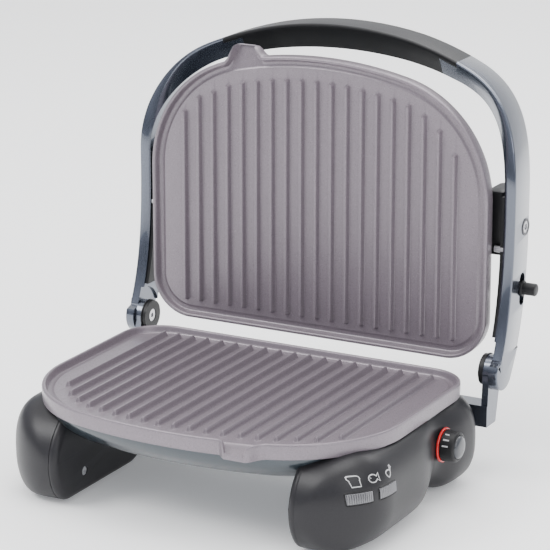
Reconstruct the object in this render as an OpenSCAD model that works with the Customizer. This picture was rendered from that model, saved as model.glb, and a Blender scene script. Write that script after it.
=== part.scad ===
// Electric indoor grill with a hinged lid on a bent handle frame.
// Origin: on the table under the middle of the width, +X to the right, +Y to the back, +Z up.

/* [Grill plates] */
// Width of a grill plate
plate_w = 314; // [290:1:326]
// Depth of a grill plate from its crown to its straight back edge
plate_d = 240; // [220:1:250]
// Radius of the crown at the front of the plate
crown_r = 340; // [320:1:400]
// Radius of the front corners
front_r = 100; // [85:1:110]
// Radius of the back corners
back_r = 36; // [28:1:44]
// Height of the plate's floor above the table
plate_z = 84; // [82:1:88]
// Height of the rim over the plate's floor
rim_h = 5; // [3.5:0.5:5]
// Width of the rim
rim_w = 3.2; // [2:0.1:4]
// Width of the drip channel inside the rim
channel_w = 5.8; // [4:0.1:8]
// Depth of the drip channel below the floor
channel_depth = 1.2; // [0.5:0.1:2]
// Thickness of the plate's floor
floor_t = 3.5; // [3:0.1:4]
// Depth of the skirt below the floor
skirt_h = 8; // [6:0.5:9]
// Thickness of the skirt
skirt_t = 3; // [2:0.1:3.5]

/* [Ribs] */
// Centre distance of neighbouring ribs
rib_pitch = 14; // [12:0.5:16]
// Number of ribs
rib_count = 19; // [15:2:19]
// Width of a rib at its foot
rib_base = 6.2; // [5:0.1:8]
// Width of a rib at its top
rib_top = 3.2; // [2:0.1:4.5]
// Height of a rib
rib_h = 4.5; // [3:0.1:4.5]
// Distance from the plate's edge to the front ends of the ribs
rib_front = 21.5; // [16:0.5:30]
// Distance from the plate's back edge to the back ends of the ribs
rib_back = 17; // [14:0.5:25]
// Extra length of each of the two outer ribs beside the spout
rib_extra = 5; // [0:0.5:6]

/* [Spout] */
// Distance of the spout from the middle of the plate
spout_x = 67; // [40:1:75]
// Width of the spout where it leaves the rim
spout_base = 38; // [30:1:44]
// Width of the spout at its tip
spout_tip = 18; // [12:1:24]
// Reach of the spout beyond the crown's front line
spout_out = 4; // [2:0.5:6]

/* [Base] */
// Depth of the base bowl below the plate's floor
bowl_depth = 36; // [32:1:38]
// Wall of the bowl and of the lid shell
shell_t = 2.5; // [2:0.1:3]
// Depth of the lid shell behind the upper plate's floor
lid_depth = 51; // [44:1:54]
// Distance from the middle of the machine to a pod's seam
seam_x = 110; // [106:1:114]
// Distance from the middle of the machine to a pod's outer face
pod_x = 167; // [165:1:168]
// Thickness of a pod's inner cover
cover_t = 7; // [5:0.5:9]
// Wall of a pod
pod_t = 2.5; // [2:0.1:3]
// Radius of a rubber foot
foot_r = 9; // [6:0.5:11]
// Height of the pods above the table
foot_gap = 2; // [1.5:0.1:3]

/* [Hinge] */
// Height of the frame's hinge axis
hinge_z = 89; // [88.8:0.1:89.4]
// Place of the frame's hinge axis from front to back
hinge_y = 103.5; // [103:0.1:104]
// Radius of the hinge pin
pin_r = 4; // [3:0.1:5]
// Radius of the arm's round end
arm_end_r = 16; // [15:0.5:17]
// Running clearance of pins in their bores
run = 0.05; // [0.02:0.01:0.09]

/* [Handle frame] */
// Distance from the middle of the machine to an arm's outer face
arm_x = 176; // [175:0.5:180]
// Thickness of an arm
arm_t = 10; // [9:0.5:11]
// Depth of the frame from front to back
arm_d = 32; // [28:1:34]
// Height of the frame's crown
crown_z = 352; // [350:1:356]
// Radius of the frame's crown
frame_r = 310; // [300:5:340]
// Half length of the grip
grip_x = 109; // [100:1:115]
// Half length of the grip between the arms' tongues
tongue_x = 92; // [84:1:98]
// Height of the lid's pivot axis
pivot_z = 203; // [196:1:208]
// Place of the lid's pivot axis from front to back
pivot_y = 139.2; // [138:0.1:140]

/* [Knob] */
// Radius of the knob
knob_r = 13; // [11:0.5:14]
// Reach of the knob from its ring
knob_l = 15.5; // [12:0.5:18]
// Height of the knob's axis
knob_z = 48.5; // [46:0.5:50]
// Place of the knob's axis from front to back
knob_y = 23; // [20:0.5:26]

/* [Hidden] */

plate_y = -33;
upper_y = 109;
upper_z = 212;
half_w = plate_w / 2;
half_d = plate_d / 2;
seat = 0.2;
metal = [0.42, 0.47, 0.52];
black = [0.1, 0.1, 0.11];
charcoal = [0.26, 0.25, 0.27];
silver = [0.75, 0.75, 0.77];
lilac = [0.65, 0.62, 0.65];

function arc(cx, cy, r, a0, a1, n) =
    [for (i = [0:n]) [cx + r * cos(a0 + (a1 - a0) * i / n), cy + r * sin(a0 + (a1 - a0) * i / n)]];

function bez(p, n) =
    [for (i = [0:n]) let(t = i / n, s = 1 - t)
        s * s * s * p[0] + 3 * s * s * t * p[1] + 3 * s * t * t * p[2] + t * t * t * p[3]];

// The plate's outline, drawn in by a distance all round: crown, two front and two back corners.
function outline(inset, n = 8) =
    let(
        rf = max(front_r - inset, 12),
        rb = max(back_r - inset, 10),
        rc = crown_r - inset,
        cx = half_w - inset - rf,
        yc = crown_r - half_d,
        cy = yc - sqrt((rc - rf) * (rc - rf) - cx * cx),
        bx = half_w - inset - rb,
        by = half_d - inset - rb,
        a = asin(cx / (rc - rf))
    )
    concat(
        arc(0, yc, rc, 270 - a, 270 + a, n + 2),
        [for (p = arc(cx, cy, rf, 270 + a, 360, n)) if (p[0] > cx + rf * sin(a) + 0.01) p],
        arc(bx, by, rb, 0, 90, n - 2),
        arc(-bx, by, rb, 90, 180, n - 2),
        [for (p = arc(-cx, cy, rf, 180, 270 - a, n)) if (p[0] < -cx - rf * sin(a) - 0.01) p]
    );

// Front line of the outline at a distance x from the middle.
function front_y(x, inset) =
    let(
        rf = front_r - inset,
        rc = crown_r - inset,
        cx = half_w - front_r,
        yc = crown_r - half_d,
        cy = yc - sqrt((rc - rf) * (rc - rf) - cx * cx)
    )
    abs(x) < rc * cx / (rc - rf) ? yc - sqrt(rc * rc - x * x)
        : cy - sqrt(max(rf * rf - (abs(x) - cx) * (abs(x) - cx), 1));

function ring(points, z) = [for (p = points) [p[0], p[1], z]];

// A closed solid through rings that all have the same number of points.
module loft(rings) {
    n = len(rings[0]);
    m = len(rings);
    polyhedron(
        points = [for (r = rings, p = r) p],
        faces = concat(
            [[for (i = [0:n - 1]) i]],
            [for (j = [0:m - 2], i = [0:n - 1])
                [j * n + i, (j + 1) * n + i, (j + 1) * n + (i + 1) % n, j * n + (i + 1) % n]],
            [[for (i = [n - 1:-1:0]) (m - 1) * n + i]]
        ),
        convexity = 6
    );
}

// The same for rings whose points run the other way round.
module loft_back(rings) loft([for (r = rings) [for (i = [len(r) - 1:-1:0]) r[i]]]);

module slab(inset, z0, z1) {
    translate([0, 0, z0]) linear_extrude(z1 - z0) polygon(outline(inset));
}

// One rib: a straight bar of trapezoid section with a round taper at each end.
module rib(x, y0, y1) {
    translate([x, y1, 0]) rotate([90, 0, 0]) linear_extrude(y1 - y0)
        polygon([[-rib_base / 2, -0.5], [rib_base / 2, -0.5], [rib_base / 2, 0],
            [rib_top / 2, rib_h], [-rib_top / 2, rib_h], [-rib_base / 2, 0]]);
    for (y = [y0, y1]) translate([x, y, 0]) cylinder(h = rib_h, r1 = rib_base / 2, r2 = rib_top / 2, $fn = 32);
}

clip_x = 90;
clip_w = 16;
clip_t = 1.4;
lip_drop = 4;

// The ribbed casting, used for both plates, with its floor at height 0.
module plate_casting() {
    y_base = front_y(spout_x, 0);
    y_tip = -half_d - spout_out;
    difference() {
        union() {
            slab(0, -skirt_h, rim_h);
            translate([spout_x, 0, -lip_drop]) linear_extrude(lip_drop + rim_h - 1)
                polygon([[-spout_base / 2, y_base + 12], [-spout_base / 2, front_y(spout_x - spout_base / 2, 0) + 0.4],
                    [-spout_tip / 2, y_tip], [spout_tip / 2, y_tip],
                    [spout_base / 2, front_y(spout_x + spout_base / 2, 0) + 0.4], [spout_base / 2, y_base + 12]]);
        }
        slab(rim_w, 0, rim_h + 1);
        difference() {
            slab(rim_w, -channel_depth, 1);
            slab(rim_w + channel_w, -channel_depth - 1, 2);
        }
        slab(skirt_t, -skirt_h - 1, -floor_t);
        translate([spout_x, 0, -channel_depth]) linear_extrude(rim_h + 3)
            polygon([[-spout_base / 2 + 4, y_base + 5], [-spout_tip / 2 + 3, y_tip - 1],
                [spout_tip / 2 - 3, y_tip - 1], [spout_base / 2 - 4, y_base + 5]]);
        translate([spout_x, y_tip + 1, 1.2]) rotate([24, 0, 0]) translate([-spout_base / 2, -12, 0])
            cube([spout_base, 21, 12]);
        for (s = [-1, 1]) translate([s * clip_x - clip_w / 2 - 1, half_d - rim_w - 0.5, -skirt_h - 1])
            cube([clip_w + 2, rim_w + 2, skirt_h + rim_h + 3]);
    }
    for (i = [0:rib_count - 1]) let(x = (i - (rib_count - 1) / 2) * rib_pitch)
        if (abs(x) < half_w - rib_front - 8)
            rib(x, front_y(x, rib_front) - rib_extra * max(0, i - rib_count + 3), half_d - rib_back);
    for (s = [-1, 1]) translate([s * clip_x - clip_w / 2 - 3, half_d - rim_w - 3.5, -floor_t])
        cube([clip_w + 6, 2.5, floor_t + 2]);
}

module in_base() translate([0, plate_y, plate_z]) children();

// Turns the casting over into the lid: its crown points up and its ribs face the front.
module in_lid() translate([0, upper_y, upper_z]) rotate([90, 180, 0]) children();

module both_sides() {
    children();
    mirror([1, 0, 0]) children();
}

bowl_edge = 5;
bowl_flat = 60;
tuck = 8;
function bowl_ring(t, g) =
    ring(outline(bowl_edge + (bowl_flat - bowl_edge) * (1 - cos(t)) - g), -tuck - (bowl_depth - tuck) * sin(t) - g);
rim_top = -floor_t - seat;

module bowl_form(g) {
    loft(concat([for (i = [8:-1:0]) bowl_ring(90 * i / 8, g)], [ring(outline(bowl_edge - g), rim_top + g)]));
}

module bowl() {
    loft(concat(
        [for (i = [8:-1:0]) bowl_ring(90 * i / 8, 0)],
        [ring(outline(bowl_edge), rim_top), ring(outline(bowl_edge + shell_t), rim_top)],
        [for (i = [0:8]) bowl_ring(90 * i / 8, -shell_t)]
    ));
}

post_x = 100;
post_y = 50;
tray_z = -24;
module base_shell() {
    color(metal) in_base() {
        bowl();
        for (sx = [-1, 1], sy = [-1, 1]) translate([sx * post_x, sy * post_y, -bowl_depth + 1])
            cylinder(h = bowl_depth - 1 + tray_z - seat, r = 5, $fn = 32);
    }
}

// Sheet tray under an element, with four saddles that carry the tube.
loop_x = 60;
loop_front = 70;
loop_back = 42;
saddle_h = 6;
tray_t = 1;
module reflector() {
    color(silver) {
        difference() {
            slab(24, 0, 9);
            slab(24 + tray_t, tray_t, 10);
        }
        for (s = [-1, 1], y = [-50, 40]) translate([s * loop_x - 4, y - 4, tray_t / 2])
            cube([8, 8, saddle_h]);
    }
}
module lower_reflector() in_base() translate([0, 0, tray_z]) reflector();

// Tubular element bent to a loop, open at the back where its two ends turn down.
tube_r = 3.4;
module element() {
    bend = 28;
    color([0.3, 0.3, 0.31]) translate([0, 0, tray_t + saddle_h - tray_t / 2 + tube_r + seat]) {
        for (s = [-1, 1]) {
            translate([s * loop_x, -loop_front + bend, 0]) rotate([-90, 0, 0])
                cylinder(h = loop_front + loop_back - bend, r = tube_r, $fn = 24);
            translate([s * (loop_x - bend), -loop_front + bend, 0]) rotate([0, 0, s > 0 ? -90 : 180])
                rotate_extrude(angle = 90, $fn = 48) translate([bend, 0]) circle(tube_r, $fn = 24);
            translate([s * (loop_x - bend), loop_back, 0]) rotate([0, 0, s > 0 ? 0 : 90])
                rotate_extrude(angle = 90, $fn = 48) translate([bend, 0]) circle(tube_r, $fn = 24);
            translate([s * (loop_x - bend), loop_back + bend, 0]) rotate([0, -s * 90, 0])
                cylinder(h = 20, r = tube_r, $fn = 24);
        }
        translate([-loop_x + bend, -loop_front, 0]) rotate([0, 90, 0])
            cylinder(h = 2 * (loop_x - bend), r = tube_r, $fn = 24);
    }
}
module lower_element() in_base() translate([0, 0, tray_z]) element();

clip_drop = 16;
clip_gap = 0.35;
module plate_clips(top, shell_inset) {
    color(silver) for (s = [-1, 1]) translate([s * clip_x - clip_w / 2, 0, 0]) {
        translate([0, half_d - clip_t - 0.4, -clip_drop]) cube([clip_w, clip_t, clip_drop + top]);
        translate([0, half_d - shell_inset + clip_gap, -clip_drop])
            cube([clip_w, shell_inset - clip_gap - 0.4, clip_t]);
    }
}
module lower_plate_clips() in_base() plate_clips(3.5, bowl_edge + (bowl_flat - bowl_edge)
    * (1 - cos(asin((clip_drop - clip_t - tuck) / (bowl_depth - tuck)))));

nose_y = -141;
nose_r = 57;
tail_y = 102;
tail_r = 40;
seam_z = 36;
pod_top_z = 79;
valley_dip = 9.5;
arch_rise = 14;
arch_front = -25;
arch_back = 45;
sole_front = -118;
sole_back = 80;
crown_front = -95;
lobe = 2.5;
function quarter(u) = sqrt(max(1 - u * u, 0.0001));
function pod_reach(y) = (pod_x - seam_x) * (
    y < nose_y + nose_r ? quarter((y - nose_y - nose_r) / nose_r)
    : y > tail_y - tail_r ? quarter((y - tail_y + tail_r) / tail_r)
    : 1) - valley_dip * exp(-pow((y - knob_y + 8) / 24, 2));
function pod_low(y) =
    y < sole_front ? seam_z - (seam_z - foot_gap) * quarter((y - sole_front) / (sole_front - nose_y))
    : y > sole_back ? seam_z - (seam_z - foot_gap) * quarter((y - sole_back) / (tail_y - sole_back))
    : y > arch_front && y < arch_back
        ? foot_gap + arch_rise * pow(sin(180 * (y - arch_front) / (arch_back - arch_front)), 2)
    : foot_gap;
function pod_high(y) =
    y < crown_front ? seam_z + (pod_top_z - seam_z) * quarter((y - crown_front) / (crown_front - nose_y))
    : y > tail_y - tail_r ? seam_z + (pod_top_z - seam_z) * quarter((y - tail_y + tail_r) / tail_r)
    : pod_top_z;
pod_ys = concat(
    [for (t = [9, 21, 34, 48, 63, 80]) nose_y + nose_r - nose_r * cos(t)],
    [-58, arch_front, -8, 10, 28, arch_back, 60],
    [for (t = [28, 48, 66, 80]) tail_y - tail_r + tail_r * sin(t)]
);

// Section of a pod at y: flat towards the seam, a superellipse towards the outside.
function pod_ring(y, g, x0) =
    let(
        r = max(pod_reach(y) - g, 1),
        xm = seam_x + 0.44 * r,
        rx = seam_x + r - xm,
        zl = pod_low(y) + g,
        zh = pod_high(y) - g,
        zc = (zl + zh) / 2,
        h = (zh - zl) / 2,
        e = 2 / lobe
    )
    concat(
        [[x0, y, zl]],
        [for (t = [90:-15:0]) [xm + rx * pow(cos(t), e), y, zc - h * pow(sin(t), e)]],
        [for (t = [15:15:90]) [xm + rx * pow(cos(t), e), y, zc + h * pow(sin(t), e)]],
        [[x0, y, zh]]
    );

module pod_clear() {
    in_base() bowl_form(0.7);
    in_base() slab(-0.6, -skirt_h - 0.5, 20);
    bracket_space();
}

pod_screw_ys = [-98, 60];
pod_screw_z = 20;
boss_r = 4.5;
foot_x = 130;
foot_ys = [-100, 75];
foot_sink = 1.5;
module pod_cap() {
    difference() {
        union() {
            difference() {
                loft_back([for (y = pod_ys) pod_ring(y, 0, seam_x)]);
                loft_back([for (i = [1:len(pod_ys) - 2]) pod_ring(pod_ys[i], pod_t, seam_x - 1)]);
            }
            for (y = pod_screw_ys) translate([seam_x, y, pod_screw_z]) rotate([0, 90, 0])
                cylinder(h = pod_x - seam_x - 6, r = boss_r, $fn = 24);
        }
        pod_clear();
        for (y = pod_screw_ys) translate([seam_x - 1, y, pod_screw_z]) rotate([0, 90, 0])
            cylinder(h = 16, r = 2.05, $fn = 24);
        for (y = foot_ys) translate([foot_x, y, -1]) cylinder(h = foot_gap + foot_sink + 1, r = foot_r + run, $fn = 48);
    }
}

// Outline of a pod at its seam, drawn in by a distance.
function seam_ring(x, g) = concat(
    [for (y = pod_ys) [x, y + (y < -120 ? g : y > 90 ? -g : 0), pod_low(y) + g]],
    [for (i = [len(pod_ys) - 1:-1:0]) let(y = pod_ys[i])
        [x, y + (y < -120 ? g : y > 90 ? -g : 0), max(pod_high(y) - g, pod_low(y) + g + 0.5)]]);

module pod_cover() {
    difference() {
        loft_back([seam_ring(seam_x - 0.1, 0), seam_ring(seam_x - cover_t / 2, 0.8), seam_ring(seam_x - cover_t, 4)]);
        pod_clear();
        for (y = pod_screw_ys) {
            translate([seam_x - cover_t - 1, y, pod_screw_z]) rotate([0, 90, 0]) cylinder(h = 3.6, r = 4, $fn = 32);
            translate([seam_x - cover_t - 1, y, pod_screw_z]) rotate([0, 90, 0]) cylinder(h = 10, r = 2.1, $fn = 24);
        }
    }
}
module left_pod_cover() color(charcoal) mirror([1, 0, 0]) pod_cover();
module right_pod_cover() color(charcoal) pod_cover();

module pod_cover_screws() {
    color(silver) both_sides() for (y = pod_screw_ys) translate([seam_x - cover_t + 0.6, y, pod_screw_z])
        rotate([0, 90, 0]) difference() {
            union() {
                cylinder(h = 2, r = 3.6, $fn = 32);
                cylinder(h = 18, r = 2, $fn = 24);
            }
            translate([0, 0, -0.5]) cylinder(h = 1.5, r = 1.4, $fn = 6);
        }
}

gland_x = 128;
gland_z = 20;
gland_r = 6;
module left_pod_cap() color(charcoal) difference() {
    mirror([1, 0, 0]) pod_cap();
    translate([-gland_x, tail_y - 22, gland_z]) rotate([-90, 0, 0]) cylinder(h = 30, r = gland_r + run, $fn = 48);
}
module cord_gland() color(black) translate([-gland_x, tail_y - 14, gland_z]) rotate([-90, 0, 0]) difference() {
    union() {
        cylinder(h = 19, r = gland_r, $fn = 48);
        cylinder(h = 2, r = gland_r + 2, $fn = 48);
    }
    translate([0, 0, -1]) cylinder(h = 22, r = 3.6, $fn = 32);
}

window_z = 49;
window_w = 21;
window_h = 9.5;
window_angles = [50, 83];
lens_gap = 0.15;
module at_window(a) translate([seam_x, nose_y + nose_r, window_z]) rotate([0, 0, a - 90])
    translate([pod_x - seam_x, 0, 0]) children();
knob_seat_x = 158.5;
shaft_r = 3;
module knob_axis(x) translate([x, knob_y, knob_z]) rotate([0, 90, 0]) children();
module right_pod_cap() color(charcoal) difference() {
    union() {
        difference() {
            pod_cap();
            knob_axis(knob_seat_x) cylinder(h = 20, r = knob_r + 7, $fn = 64);
        }
        knob_axis(knob_seat_x - 9) cylinder(h = 9, r = knob_r + 3, $fn = 64);
    }
    knob_axis(knob_seat_x - 12) cylinder(h = 16, r = shaft_r + run, $fn = 48);
    for (a = window_angles) at_window(a) translate([-5, -window_w / 2, -window_h / 2]) cube([12, window_w, window_h]);
}
lens_t = 3;
module indicator_lenses() color(silver) for (a = window_angles) at_window(a) {
    w = window_w - 2 * lens_gap;
    h = window_h - 2 * lens_gap;
    translate([-1.4 - lens_t, -w / 2, -h / 2]) cube([lens_t, w, h]);
    for (i = [-4:4]) translate([-1.5, i * w / 10 - 0.5, -h / 2 + 0.6]) cube([0.6, 1, h - 1.2]);
}
lamp_r = 2.4;
module indicator_lamps() color([0.9, 0.4, 0.3]) for (a = window_angles) at_window(a)
    translate([-1.4 - lens_t - seat - lamp_r, -7, 0]) rotate([-90, 0, 0]) cylinder(h = 14, r = lamp_r, $fn = 32);

stat_l = 18;
module thermostat() color(silver) difference() {
    knob_axis(knob_seat_x - 9 - stat_l - seat) {
        translate([-3, -14, 0]) cube([20, 28, stat_l - 4]);
        translate([0, 0, stat_l - 5]) cylinder(h = 5, r = 7, $fn = 40);
    }
    knob_axis(knob_seat_x - 22) cylinder(h = 20, r = shaft_r + run, $fn = 48);
}
module knob_shaft() color(silver) knob_axis(knob_seat_x - 21.5) cylinder(h = 31, r = shaft_r, $fn = 48);
ring_t = 1.8;
module knob_ring() color([0.8, 0.12, 0.12]) knob_axis(knob_seat_x + seat) difference() {
    cylinder(h = ring_t, r = knob_r + 1.2, $fn = 64);
    translate([0, 0, -1]) cylinder(h = ring_t + 2, r = shaft_r + 1, $fn = 48);
}
cap_h = 3;
module knob() color(black) knob_axis(knob_seat_x + ring_t + 0.6) difference() {
    union() {
        cylinder(h = knob_l - cap_h - 1, r1 = knob_r, r2 = knob_r - 0.8, $fn = 64);
        translate([0, 0, knob_l - cap_h - 1]) cylinder(h = 1, r1 = knob_r - 0.8, r2 = knob_r - 1.8, $fn = 64);
    }
    translate([0, 0, -1]) cylinder(h = 9, r = shaft_r + 0.02, $fn = 48);
    translate([0, 0, knob_l - cap_h - 1]) cylinder(h = 2, r = knob_r - 3.5, $fn = 64);
}
module knob_cap() color(silver) knob_axis(knob_seat_x + ring_t + 0.6 + knob_l - cap_h - 1) {
    cylinder(h = 2, r = knob_r - 3.6, $fn = 64);
    translate([0, 0, 2]) cylinder(h = cap_h - 1, r1 = knob_r - 3.6, r2 = knob_r - 7, $fn = 64);
}
module terminal_block() color([0.9, 0.9, 0.85])
    translate([-seam_x - 23, 48, foot_gap + pod_t + seat]) cube([15, 22, 10]);
module rubber_feet() color(black) for (s = [-1, 1], y = foot_ys)
    translate([s * foot_x, y, 0]) cylinder(h = foot_gap + foot_sink, r = foot_r, $fn = 48);

// Hinge: a cranked bracket comes out of each pod and ends in an upright tongue.
tongue_t = 5.7;
tongue_in = 162;
tongue_r = 13;
bar_z = 44;
bar_h = 18;
bar_y = 88;
bar_d = 18;
bar_in = 122;
module bracket_space() translate([bar_in - 1, bar_y - 0.3, bar_z - 0.3]) cube([60, bar_d + 0.6, bar_h + 0.6]);
module hinge_axis(x) translate([x, hinge_y, hinge_z]) rotate([0, 90, 0]) children();
module bracket() difference() {
    union() {
        translate([bar_in, bar_y, bar_z]) cube([tongue_in + tongue_t - bar_in, bar_d, bar_h]);
        translate([tongue_in, 0, 0]) rotate([90, 0, 90]) linear_extrude(tongue_t)
            polygon([[bar_y, bar_z], [bar_y + bar_d, bar_z], [hinge_y + tongue_r - 0.3, hinge_z],
                [hinge_y - tongue_r + 0.3, hinge_z]]);
        hinge_axis(tongue_in) cylinder(h = tongue_t, r = tongue_r, $fn = 64);
    }
    hinge_axis(tongue_in - 1) cylinder(h = tongue_t + 2, r = pin_r + 0.02, $fn = 48);
}
module left_bracket() color(metal) mirror([1, 0, 0]) bracket();
module right_bracket() color(metal) bracket();
disc_t = 4.3;
module hinge_discs() color(black) both_sides() difference() {
    union() {
        hinge_axis(tongue_in - disc_t) cylinder(h = disc_t - 1, r = tongue_r, $fn = 64);
        hinge_axis(tongue_in - 1) cylinder(h = 0.95, r = tongue_r + 0.8, $fn = 64);
    }
    hinge_axis(tongue_in - disc_t - 1) cylinder(h = disc_t + 2, r = pin_r + 1.5, $fn = 48);
}
module hinge_pins() color(silver) both_sides() difference() {
    union() {
        hinge_axis(tongue_in - disc_t + 0.5) cylinder(h = disc_t - 0.6, r = pin_r + 1.45, $fn = 48);
        hinge_axis(tongue_in - 0.2) cylinder(h = tongue_t + 6.2, r = pin_r, $fn = 48);
    }
    hinge_axis(tongue_in - disc_t) cylinder(h = 2.5, r = 2.2, $fn = 6);
}

// Handle frame: a bent band whose front line leans back above the lid's pivot.
crook_z = 100;
lean_low = bez([[116, 220], [116, 170], [112, 134], [96, crook_z]], 10);
lean_top = bez([[116, 236], [116, 272], [134, 300], [149, 345]], 12);
lean = concat([for (i = [10:-1:0]) [lean_low[i][1], lean_low[i][0]]], [for (p = lean_top) [p[1], p[0]]]);
function front_line(z) = lookup(z, lean);
bend_z = 234;
outer_join = 120;
inner_join = 103;
rib_in = 22;
crown_mid = crown_z - frame_r;
inner_r = 375;
inner_crown = crown_z - rib_in;
function slope_point(x, r, z) = [x, z - r + sqrt(r * r - x * x)];
function slope_dir(x, r) = [cos(asin(x / r)), -x / r];
outer_path = concat(
    [for (z = [crook_z, 128, 156, 184, 210]) [arm_x, z]],
    let(p = slope_point(outer_join, frame_r, crown_z), d = slope_dir(outer_join, frame_r))
        bez([[arm_x, bend_z], [arm_x, bend_z + 66], p + 20 * d, p], 13),
    [for (x = [109, 101, tongue_x, 78, 60, 40, 20, 0]) slope_point(x, frame_r, crown_z)]
);
inner_path = concat(
    [for (z = [crook_z, 128, 156, 184, 210]) [arm_x - arm_t, z]],
    let(p = slope_point(inner_join, inner_r, inner_crown), d = slope_dir(inner_join, inner_r))
        bez([[arm_x - arm_t, bend_z], [arm_x - arm_t, bend_z + 52], p + 30 * d, p], 13),
    [for (x = [97, 91, 84, 72, 56, 38, 19, 0]) slope_point(x, inner_r, inner_crown)]
);
bend_0 = 6;
bend_1 = 12;
function ease(i) = let(u = min(max((i - bend_0) / (bend_1 - bend_0), 0), 1)) u * u * (3 - 2 * u);
function band_ring(i, s) =
    let(
        o = outer_path[i],
        n = inner_path[i],
        y = front_line(o[1]),
        k = ease(i),
        w = norm(o - n),
        u = (n - o) / w,
        a = o + 1.2 * u,
        b = o + (8 - 5.5 * k) * u,
        c = 1.5 + 9.5 * k,
        e = o + (w - 2) * u
    )
    [for (p = [[o, 1.4], [a, 0], [b, 0], [n, c], [n, arm_d - 2], [e, arm_d], [a, arm_d], [o, arm_d - 1.2]])
        [s * p[0][0], y + p[1], p[0][1]]];
last = len(outer_path) - 1;
module band() {
    loft_back(concat([for (i = [0:last]) band_ring(i, 1)], [for (i = [last - 1:-1:0]) band_ring(i, -1)]));
}

step_in = 5;
function grip_zone(g) =
    let(z1 = slope_point(grip_x, frame_r, crown_z)[1] - step_in, z2 = slope_point(tongue_x, frame_r, crown_z)[1] - step_in)
    [[-grip_x + g, 500], [-grip_x + g, z1 + g], [-tongue_x + g, z2 + g], [-tongue_x + g, 200],
        [tongue_x - g, 200], [tongue_x - g, z2 + g], [grip_x - g, z1 + g], [grip_x - g, 500]];
module zone(g) translate([0, 300, 0]) rotate([90, 0, 0]) linear_extrude(300) polygon(grip_zone(g));

module grip() color(black) difference() {
    intersection() {
        band();
        zone(0.1);
    }
    for (s = [-1, 1]) grip_screw_axis(s) cylinder(h = 14, r = 2.05, $fn = 24);
    for (s = [-1, 1]) grip_screw_axis(s) translate([0, 0, -1]) cylinder(h = 3.2, r = 3.8, $fn = 32);
}
screw_x = 84;
module grip_screw_axis(s) translate([s * screw_x, front_line(crown_z) + arm_d, crown_z - 20]) rotate([90, 0, 0]) children();
module grip_screws() color(silver) for (s = [-1, 1]) grip_screw_axis(s) difference() {
    union() {
        translate([0, 0, 0.2]) cylinder(h = 1.9, r = 3.5, $fn = 32);
        translate([0, 0, 1]) cylinder(h = 12, r = 2, $fn = 24);
    }
    translate([0, 0, -0.5]) cylinder(h = 1.6, r = 1.5, $fn = 6);
}

bolt_r = 4;
bolt_ring_r = 7;
module pivot_axis(x) translate([x, pivot_y, pivot_z]) rotate([0, 90, 0]) children();
fork_r = 24.5;
shoulder = 0.3;
module arm() difference() {
    union() {
        difference() {
            band();
            zone(0);
            translate([-300, 0, 0]) cube([300, 400, 400]);
        }
        translate([arm_x - arm_t + shoulder, 0, 0]) rotate([90, 0, 90]) linear_extrude(arm_t - 2 * shoulder)
            polygon([[hinge_y - 0.89 * arm_end_r, hinge_z + 0.45 * arm_end_r], [lean[0][1] + 0.6, crook_z],
                [front_line(crook_z + 6) + 1.6, crook_z + 6], [front_line(crook_z + 6) + arm_d - 1.6, crook_z + 6],
                [lean[0][1] + arm_d - 0.6, crook_z], [hinge_y + 0.89 * arm_end_r, hinge_z - 0.45 * arm_end_r]]);
        hinge_axis(arm_x - arm_t + shoulder) cylinder(h = arm_t - 2 * shoulder, r = arm_end_r, $fn = 64);
    }
    hinge_axis(arm_x - arm_t - 5) cylinder(h = tongue_in + tongue_t + 0.3 - arm_x + arm_t + 5, r = fork_r, $fn = 64);
    hinge_axis(tongue_in) cylinder(h = tongue_t + 6.5, r = pin_r + run, $fn = 48);
    pivot_axis(arm_x - arm_t - 1) cylinder(h = arm_t + 2, r = bolt_r + 0.02, $fn = 48);
    pivot_axis(arm_x - 1.5) cylinder(h = 3, r = bolt_ring_r + 0.02, $fn = 48);
}
slot_y = 135;
slot_low = 137.6;
slot_top = 165;
slot_w = 10;
peg_z = 152;
module slot(x, l) for (z = [slot_low + slot_w / 2, slot_top - slot_w / 2])
    translate([x, slot_y, z]) rotate([0, 90, 0]) cylinder(h = l, r = slot_w / 2, $fn = 48);
module long_slot(x, l) {
    slot(x, l);
    translate([x, slot_y - slot_w / 2, slot_low + slot_w / 2]) cube([l, slot_w, slot_top - slot_low - slot_w]);
}
module left_arm() color(metal) mirror([1, 0, 0]) arm();
module right_arm() color(metal) difference() {
    arm();
    long_slot(arm_x - arm_t - 1, arm_t + 2);
}

cover_in = arm_x - arm_t - 3;
cover_low = 116;
cover_high = 231;
module arm_cover() difference() {
    translate([cover_in, 0, 0]) rotate([90, 0, 90]) linear_extrude(arm_x - arm_t - cover_in - 0.05)
        polygon(concat(
            [for (i = [0:10]) let(z = cover_low + (cover_high - cover_low) * i / 10) [front_line(z) + 3, z]],
            [for (i = [10:-1:0]) let(z = cover_low + (cover_high - cover_low) * i / 10) [front_line(z) + arm_d - 3, z]]));
    pivot_axis(cover_in - 1) cylinder(h = 6, r = bolt_r + 0.02, $fn = 48);
    translate([cover_in - 1, stop_y, stop_z]) rotate([0, 90, 0]) cylinder(h = 6, r = stop_r + 0.02, $fn = 32);
}
module left_arm_cover() color(black) mirror([1, 0, 0]) arm_cover();
module right_arm_cover() color(black) difference() {
    arm_cover();
    long_slot(cover_in - 1, 6);
}

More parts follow.
